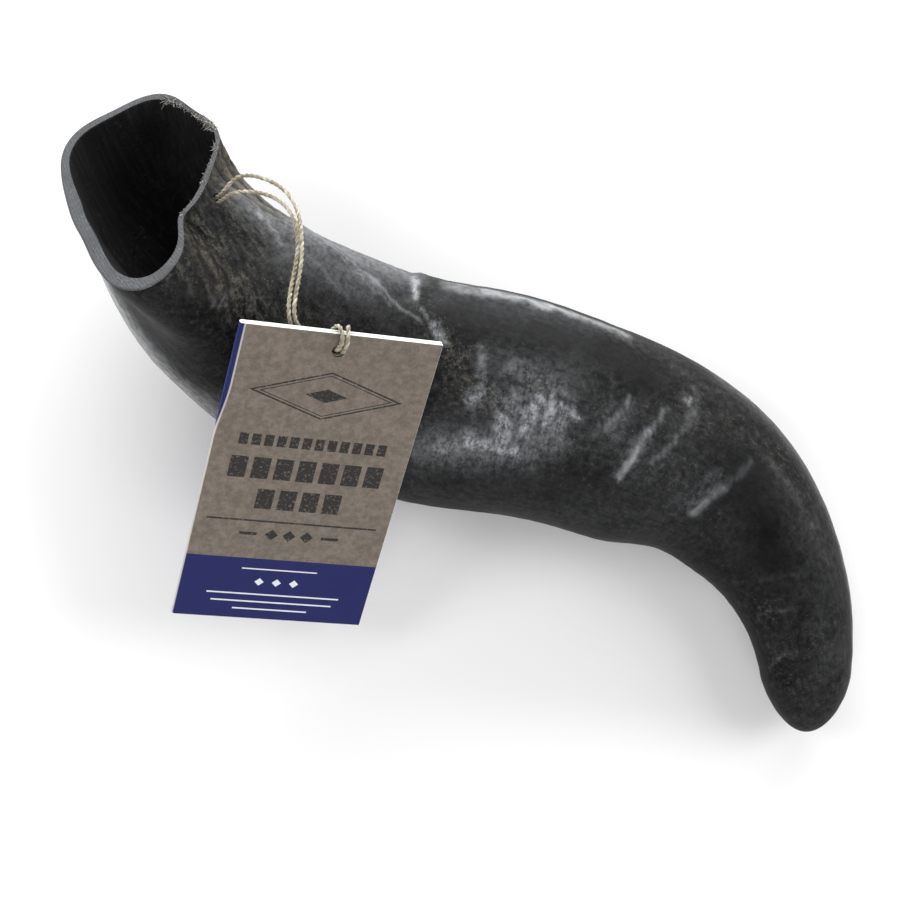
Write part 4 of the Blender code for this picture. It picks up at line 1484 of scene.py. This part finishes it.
class TieKnot(bpy.types.Operator):
    """Tie the stopper knot that holds the twine in the hollow"""

    bl_idname = "buffalo_horn.tie_knot"
    bl_label = "Stopper knot"

    def execute(self, context):
        heap = Heap()
        axis = Vector(DRILLED_AXIS).normalized()
        turned = np.array(axis.to_track_quat("Z", "Y").to_matrix())
        centre = np.array(DRILLED_PLACE) - np.array(axis) * KNOT_DEPTH
        along = np.linspace(0.0, 2 * math.pi, KNOT_STEPS)
        loops = np.stack([
            0.78 * (np.sin(along) + 2 * np.sin(2 * along)),
            0.68 * (np.cos(along) - 2 * np.cos(2 * along)),
            -1.0 * np.sin(3 * along) + 0.1,
        ], 1)
        twist_plies(heap, loops @ turned.T + centre, taper_ends=True)
        chance = np.random.default_rng(5)
        for _ in range(KNOT_HAIRS):
            way = chance.normal(size=3)
            way /= np.linalg.norm(way)
            add_hair(heap, centre + way * 1.6, way, chance.uniform(0.8, 1.6), 0.4, 0.03, chance)
        knot = heap.build("stopper_knot", "fibre_place")
        outward(knot)
        knot.data.materials.append(jute(context))
        finish_piece(knot, "twine", "twine_knot")
        return {"FINISHED"}


def jute(context):
    """The twine's material, made once."""
    return bpy.data.materials.get("jute") or twine_material(context.scene.twine_look)


def finish_piece(piece, slot, *nodes):
    """Smooth shading, the body it rides on, and what it stands for; the slot is not used."""
    pick(piece)
    bpy.ops.object.shade_smooth_by_angle(angle=math.radians(SHARP_ANGLE))
    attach(piece, "root")
    if nodes:
        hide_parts(*nodes)


class LayTwine(bpy.types.Operator):
    """Lay the two-ply twine from its knot, round the tag's top edge and back"""

    bl_idname = "buffalo_horn.lay_twine"
    bl_label = "Twine"

    def execute(self, context):
        look = context.scene.twine_look
        knot = bpy.data.objects.get("stopper_knot")
        if knot is None:
            raise RuntimeError("the twine needs its stopper knot first")
        path = even_path(twine_route(), TWINE_STEP)
        heap = Heap()
        plies = twist_plies(heap, path)
        chance = np.random.default_rng(11)
        tangents = directions(path)
        for _ in range(look.hairs):
            row = int(chance.integers(4, len(path) - 4))
            ply = plies[int(chance.integers(0, 2))]
            away = ply[row] - path[row]
            away /= np.linalg.norm(away)
            way = away * chance.uniform(0.3, 1.0) + tangents[row] * chance.normal(0.0, 1.1)
            way += chance.normal(size=3) * 0.3
            way /= np.linalg.norm(way)
            reach = look.hair_length / MM * chance.uniform(0.25, 1.0)
            add_hair(heap, ply[row] + away * 0.3, way, reach, 0.3, 0.032, chance)
        twine = heap.build("jute_twine", "fibre_place")
        outward(twine)
        twine.data.materials.append(jute(context))
        finish_piece(twine, "twine", "twine")
        return {"FINISHED"}


class GrowHorn(bpy.types.Operator):
    """Grow the horn's sheath: its skin, its sawn rim and its hollow"""

    bl_idname = "buffalo_horn.grow_horn"
    bl_label = "Horn"

    def execute(self, context):
        look = context.scene.horn_look
        sides = look.sides
        angle = np.arange(sides) * 360.0 / sides
        outer, inner = rim_edges(angle)
        # The rim is torn on the horn's outer side, and frayed next to that.
        torn = np.zeros(sides)
        for middle, spread, strength in TORN:
            torn = np.maximum(torn, strength * bump(turn(angle, middle), 0.0, spread))
        parts = (
            self.hollow_rows(look, angle, inner[0], torn),
            self.rim_rows(look, angle, outer, inner, torn),
            self.skin_rows(look, angle, outer[0]),
        )
        rows = np.concatenate([points for points, _ in parts])
        ends = np.array([MOUTH_ALONG + HOLLOW_LENGTH, HORN_LENGTH])
        points = np.concatenate([rows.reshape(-1, 3), spline(ALONG, CENTRE_LINE, ends)])
        horn = new_piece("horn_sheath", points, self.wall_faces(len(rows), sides))
        for maker in (horn_skin_material, horn_sawn_material, horn_hollow_material):
            horn.data.materials.append(maker(look))
        hollow_rows, rim_rows, skin_rows = (len(points) for points, _ in parts)
        slots = [HOLLOW] * hollow_rows + [SAWN] * rim_rows + [SKIN] * (skin_rows - 1)
        slots = np.concatenate([np.repeat(slots, sides), np.tile([HOLLOW, SKIN], sides)])
        horn.data.polygons.foreach_set("material_index", slots.tolist())
        outward(horn)
        hole = Vector((np.array(DRILLED_PLACE) + RESTING_PLACE) * MM)
        drill(
            horn, "twine_hole", hole, Vector(DRILLED_AXIS), DRILLED_DIAMETER, DRILLED_DEPTH,
            DRILLED_SIDES, bpy.data.materials["horn_sawn"],
        )

        # What the materials read at each point. A part without a value has 0 there.
        values = {}
        for name in dict.fromkeys(name for _, read in parts for name in read):
            shape = (3,) if name in PLACES else ()
            layers = [read.get(name, np.zeros(points.shape[:2] + shape)) for points, read in parts]
            layers = np.concatenate(layers).reshape((-1, *shape))
            values[name] = np.concatenate([layers, np.zeros((len(ends), *shape))])
        values["horn_place"][-len(ends):, 2] = ends
        self.carry_values(horn.data, points, values)
        finish_piece(horn, "horn", "horn")
        return {"FINISHED"}

    @staticmethod
    def hollow_rows(look, angle, cut, torn):
        """The hollow from its closed end to its ragged edge: (points, what its material reads)."""
        rim_line = straightened(cut, angle, np.full_like(angle, UNROLLED_RADIUS))
        ragged = 0.5 + noise_at(rim_line, 1.7, 3.0)
        start = cut + look.edge_round / MM + np.clip(ragged, 0.0, 1.0) * RAGGED_DEPTH * torn
        depth = np.sin(np.arange(look.hollow_rows) / look.hollow_rows * math.pi / 2)
        along = start + (MOUTH_ALONG + HOLLOW_LENGTH - start) * depth[:, None]
        angles = np.broadcast_to(angle, along.shape)
        radius = horn_radius(along, angles, inner=True)
        places = straightened(along, angles, radius)
        swell = HOLLOW_SWELL * noise_at(places, HOLLOW_LUMPS)
        swell = swell * (1.0 - fade(along - cut, 0.0, SWELL_LEAD_IN)) * (1.0 - depth[:, None] ** 4)
        return stand_out(along, angles, radius + swell)[::-1], {"horn_place": places[::-1]}

    @staticmethod
    def rim_rows(look, angle, outer, inner, torn):
        """The flat sawn rim from the hollow to the skin: (points, what its material reads)."""
        (cut, edge), (inner_cut, inner_edge) = outer, inner
        thickness = np.linalg.norm(inner_edge - edge, axis=1)
        rounded = look.edge_round / MM / thickness
        steps = [rounded, 0.33, 0.67, 1.0 - rounded]
        rim = np.array([edge + (inner_edge - edge) * np.reshape(step, (-1, 1)) for step in steps])
        chips = np.clip(0.4 + noise_at(rim, 1.6, 6.0), 0.0, 1.0)
        rim = rim - np.asarray(SAW_NORMAL) * (chips * torn * TORN_DEPTH)[..., None]
        outer_line = straightened(cut, angle, horn_radius(cut, angle))
        inner_line = straightened(inner_cut, angle, horn_radius(inner_cut, angle, inner=True))
        shares = np.linspace(0.0, 1.0, len(rim))[:, None, None]
        border = np.zeros(rim.shape[:2])
        border[0] = np.clip((thickness - THIN_WALL) / THIN_WALL, 0.0, 1.0)
        return rim[::-1], {
            "horn_place": (outer_line + (inner_line - outer_line) * shares)[::-1],
            "torn": np.broadcast_to(torn, border.shape),
            "border": border[::-1],
        }

    def skin_rows(self, look, angle, cut):
        """The skin from the rim to the tip: (points, what its material reads)."""
        round_off = look.edge_round / MM
        body_end = HORN_LENGTH - NOSE_LENGTH
        shares = (np.arange(look.body_rows) / look.body_rows) ** ROW_CROWDING
        body = (cut + round_off) + (body_end - cut - round_off) * shares[:, None]
        quarter = np.arange(look.nose_rows) / look.nose_rows * math.pi / 2
        tip = (body_end + NOSE_LENGTH * np.sin(quarter))[:, None]
        along = np.concatenate([body, np.broadcast_to(tip, (look.nose_rows, len(angle)))])
        angles = np.broadcast_to(angle, along.shape)
        radius = horn_radius(along, angles)
        places = straightened(along, angles, radius)
        shifted = wavering(along, angles, places)
        marks = {name: stroke_mask(strokes, *shifted) for name, strokes in MARKS.items()}
        marks["barked"] = marks["soiled"] * fade(along, GRAIN_FULL, GRAIN_GONE)
        bark = bark_places(along, angles)
        height = self.fine_relief(look, along, angles, places, marks, bark)
        height = height * (1.0 - fade(along - cut, 0.0, RELIEF_LEAD_IN)) * nose(along)
        skin = stand_out(along, angles, radius + height)
        skin[..., 2] = np.maximum(skin[..., 2], FLOOR_CLEARANCE - RESTING_PLACE[2])
        return skin, {**marks, "horn_place": places, "bark_place": bark}

    @staticmethod
    def wall_faces(rows, sides):
        """The faces between the rings, and those that close the hollow and the tip."""
        faces = ring_faces(rows, sides)
        last = (rows - 1) * sides
        end_of_hollow = rows * sides
        for side in range(sides):
            far = (side + 1) % sides
            faces.append((far, side, end_of_hollow))
            faces.append((last + side, last + far, end_of_hollow + 1))
        return faces

    @staticmethod
    def fine_relief(look, along, angle, places, marks, bark):
        """The low forms of the skin: swellings, ripples, ridges, furrows, flakes and streaks."""
        height = look.lump_height * noise_at(places, LUMP_SIZE)
        height = height + look.streak_height * noise_at(places, STREAK_SIZE, 5.0)
        ringed = 1.5 - fade(along, *RIPPLES_GROW)
        height = height + look.ripple_height * ringed * noise_at(places, RIPPLE_SIZE, 9.0)
        flakes = np.abs(noise_at(places, FLAKE_SIZE, 2.0))
        flakes = flakes + 0.5 * np.abs(noise_at(places, FINE_FLAKE_SIZE, 4.0))
        height = height + look.flake_height * marks["soiled"] * (0.6 - flakes) * 1.6
        grooves = noise_at(bark, BARK_SIZE, 13.0)
        height = height + look.bark_height * marks["barked"] * grooves
        height = (height - look.furrow_depth * marks["furrowed"]) / MM
        for run, rise, width in FAN_RIDGES:
            start, end = run[0][0], run[-1][0]
            ends = (1.0 - fade(along, start, start + FAN_ENDS)) * fade(along, end - FAN_ENDS, end)
            height = height + rise * ends * bump(turn(angle, track(run, along)), 0.0, width)
        dent_along, dent_angle, width, depth = RIM_DENT
        beside = np.radians(turn(angle, dent_angle)) * UNROLLED_RADIUS
        return height - depth * bump(np.hypot(along - dent_along, beside), 0.0, width)

    @staticmethod
    def carry_values(mesh, points, values):
        """Gives each point of the drilled mesh the values of the nearest first point."""
        first = (points + RESTING_PLACE) * MM
        tree = KDTree(len(first))
        for index, point in enumerate(first.tolist()):
            tree.insert(point, index)
        tree.balance()
        nearest = [tree.find(point)[1] for point in points_of(mesh).tolist()]
        for name, numbers in values.items():
            write_values(mesh, name, numbers[nearest])


class TearFibres(bpy.types.Operator):
    """Raise the torn fibres along the inner edge of the sawn rim"""

    bl_idname = "buffalo_horn.tear_fibres"
    bl_label = "Torn fibres"

    def execute(self, context):
        look = context.scene.horn_look
        chance = np.random.default_rng(3)
        heap = Heap()
        normal = np.asarray(SAW_NORMAL) / np.linalg.norm(SAW_NORMAL)
        for middle, spread, hairs, longest in TUFTS:
            angles = chance.normal(middle, spread, hairs)
            (_, outers), (_, inners) = rim_edges(angles)
            for outer, inner in zip(outers, inners):
                inward = (inner - outer) / np.linalg.norm(inner - outer)
                sideways = np.cross(normal, inward)
                base = inner - inward * chance.uniform(0.0, 1.6) - normal * chance.uniform(0.0, 0.8)
                way = inward * chance.uniform(-0.3, 1.0) + normal * chance.uniform(-0.7, 0.5)
                way += sideways * chance.normal(0.0, 0.8)
                way /= np.linalg.norm(way)
                reach = longest * chance.uniform(0.35, 1.0)
                add_hair(heap, base, way, reach, 0.9, chance.uniform(0.07, 0.2), chance)
        fibres = heap.build("torn_fibres", "fibre_place")
        outward(fibres)
        fibres.data.materials.append(fibre_material(look))
        finish_piece(fibres, "horn")
        return {"FINISHED"}


class FoldTag(bpy.types.Operator):
    """Fold the card tag round its left side, and punch its hole"""

    bl_idname = "buffalo_horn.fold_tag"
    bl_label = "Card tag"

    def execute(self, context):
        look = context.scene.tag_look
        fold = (CARD_THICKNESS + LEAF_GAP) / 2
        right = TAG_WIDTH / 2
        left = -TAG_WIDTH / 2 + fold + CARD_THICKNESS / 2
        bpy.ops.object.select_all(action="DESELECT")
        bpy.ops.mesh.primitive_plane_add(size=1.0)
        tag = context.object
        tag.name = tag.data.name = "swing_tag"
        leaf = (right - left, TAG_HEIGHT)
        tag.data.transform(Matrix.Diagonal((leaf[0] * MM, leaf[1] * MM, 1.0, 1.0)))
        tag.data.transform(Matrix.Translation(((right + left) / 2 * MM, 0.0, fold * MM)))
        for maker in (card_print_material, card_inside_material, card_edge_material):
            tag.data.materials.append(maker(look))
        bpy.ops.object.mode_set(mode="EDIT")
        bpy.ops.mesh.select_mode(type="EDGE")
        bpy.ops.mesh.select_all(action="DESELECT")
        self.pick_left_edge(tag, left * MM)
        here = (left, fold)
        for step in range(1, FOLD_STEPS + 1):
            angle = math.pi * step / FOLD_STEPS
            there = (left - fold * math.sin(angle), fold * math.cos(angle))
            self.grow(there[0] - here[0], there[1] - here[1])
            here = there
        self.grow(right - left, 0.0)
        bpy.ops.mesh.select_all(action="SELECT")
        bpy.ops.mesh.normals_make_consistent(inside=False)
        bpy.ops.object.mode_set(mode="OBJECT")
        if tag.data.polygons[0].normal.z < 0.0:
            tag.data.flip_normals()
        card = tag.modifiers.new("card", "SOLIDIFY")
        card.thickness = CARD_THICKNESS * MM
        card.offset = 0.0
        card.use_even_offset = True
        card.material_offset = 1
        card.material_offset_rim = 2
        pick(tag)
        bpy.ops.object.modifier_apply(modifier="card")
        soften = tag.modifiers.new("soften", "BEVEL")
        soften.width = CARD_SOFTENED * MM
        soften.segments = 1
        soften.limit_method = "ANGLE"
        soften.angle_limit = math.radians(60.0)
        soften.material = 2
        bpy.ops.object.modifier_apply(modifier="soften")
        hole = Vector((PUNCHED_X * MM, PUNCHED_Y * MM, 0.0))
        drill(
            tag, "punch", hole, Vector((0.0, 0.0, 1.0)), PUNCHED_DIAMETER, PUNCH_DEPTH,
            PUNCHED_SIDES, punched_hole_shade_material(look),
        )
        write_values(tag.data, "card_place", points_of(tag.data) / MM)
        centre = (Vector(TAG_CENTRE) + Vector(RESTING_PLACE)) * MM
        tag.data.transform(Matrix.LocRotScale(centre, TAG_TURNED, None))
        finish_piece(tag, "card", "tag")
        return {"FINISHED"}

    @staticmethod
    def pick_left_edge(tag, left):
        shape = bmesh.from_edit_mesh(tag.data)
        for edge in shape.edges:
            if all(abs(corner.co.x - left) < 1e-6 for corner in edge.verts):
                edge.select_set(True)
        bmesh.update_edit_mesh(tag.data)

    @staticmethod
    def grow(across, depth):
        """Draws the picked edge out by one step of the fold."""
        move = {"value": (across * MM, 0.0, depth * MM)}
        bpy.ops.mesh.extrude_region_move(TRANSFORM_OT_translate=move)


class HornPanel(bpy.types.Panel):
    """Lists the pieces of the horn and their settings"""

    bl_idname = "VIEW3D_PT_buffalo_horn"
    bl_label = "Buffalo Horn"
    bl_space_type = "VIEW_3D"
    bl_region_type = "UI"
    bl_category = "Horn"

    def draw(self, context):
        scene = context.scene
        for look, operators in (
            (scene.stage_look, (SetStage,)),
            (scene.horn_look, (GrowHorn, TearFibres)),
            (scene.twine_look, (TieKnot, LayTwine)),
            (scene.tag_look, (FoldTag,)),
        ):
            box = self.layout.box()
            for operator in operators:
                box.operator(operator.bl_idname)
            for name in look.__annotations__:
                box.prop(look, name)


LOOKS = {
    "horn_look": HornLook,
    "twine_look": TwineLook,
    "tag_look": TagLook,
    "stage_look": StageLook,
}
CLASSES = (*LOOKS.values(), SetStage, TieKnot, LayTwine, GrowHorn, TearFibres, FoldTag, HornPanel)


def register():
    for kind in CLASSES:
        bpy.utils.register_class(kind)
    for name, kind in LOOKS.items():
        setattr(bpy.types.Scene, name, PointerProperty(type=kind))


def unregister():
    for name in LOOKS:
        delattr(bpy.types.Scene, name)
    for kind in reversed(CLASSES):
        bpy.utils.unregister_class(kind)


def main():
    register()
    make_groups()
    bpy.ops.buffalo_horn.set_stage()
    bpy.ops.buffalo_horn.tie_knot()
    bpy.ops.buffalo_horn.lay_twine()
    bpy.ops.buffalo_horn.grow_horn()
    bpy.ops.buffalo_horn.tear_fibres()
    bpy.ops.buffalo_horn.fold_tag()


if __name__ == "__main__":
    main()
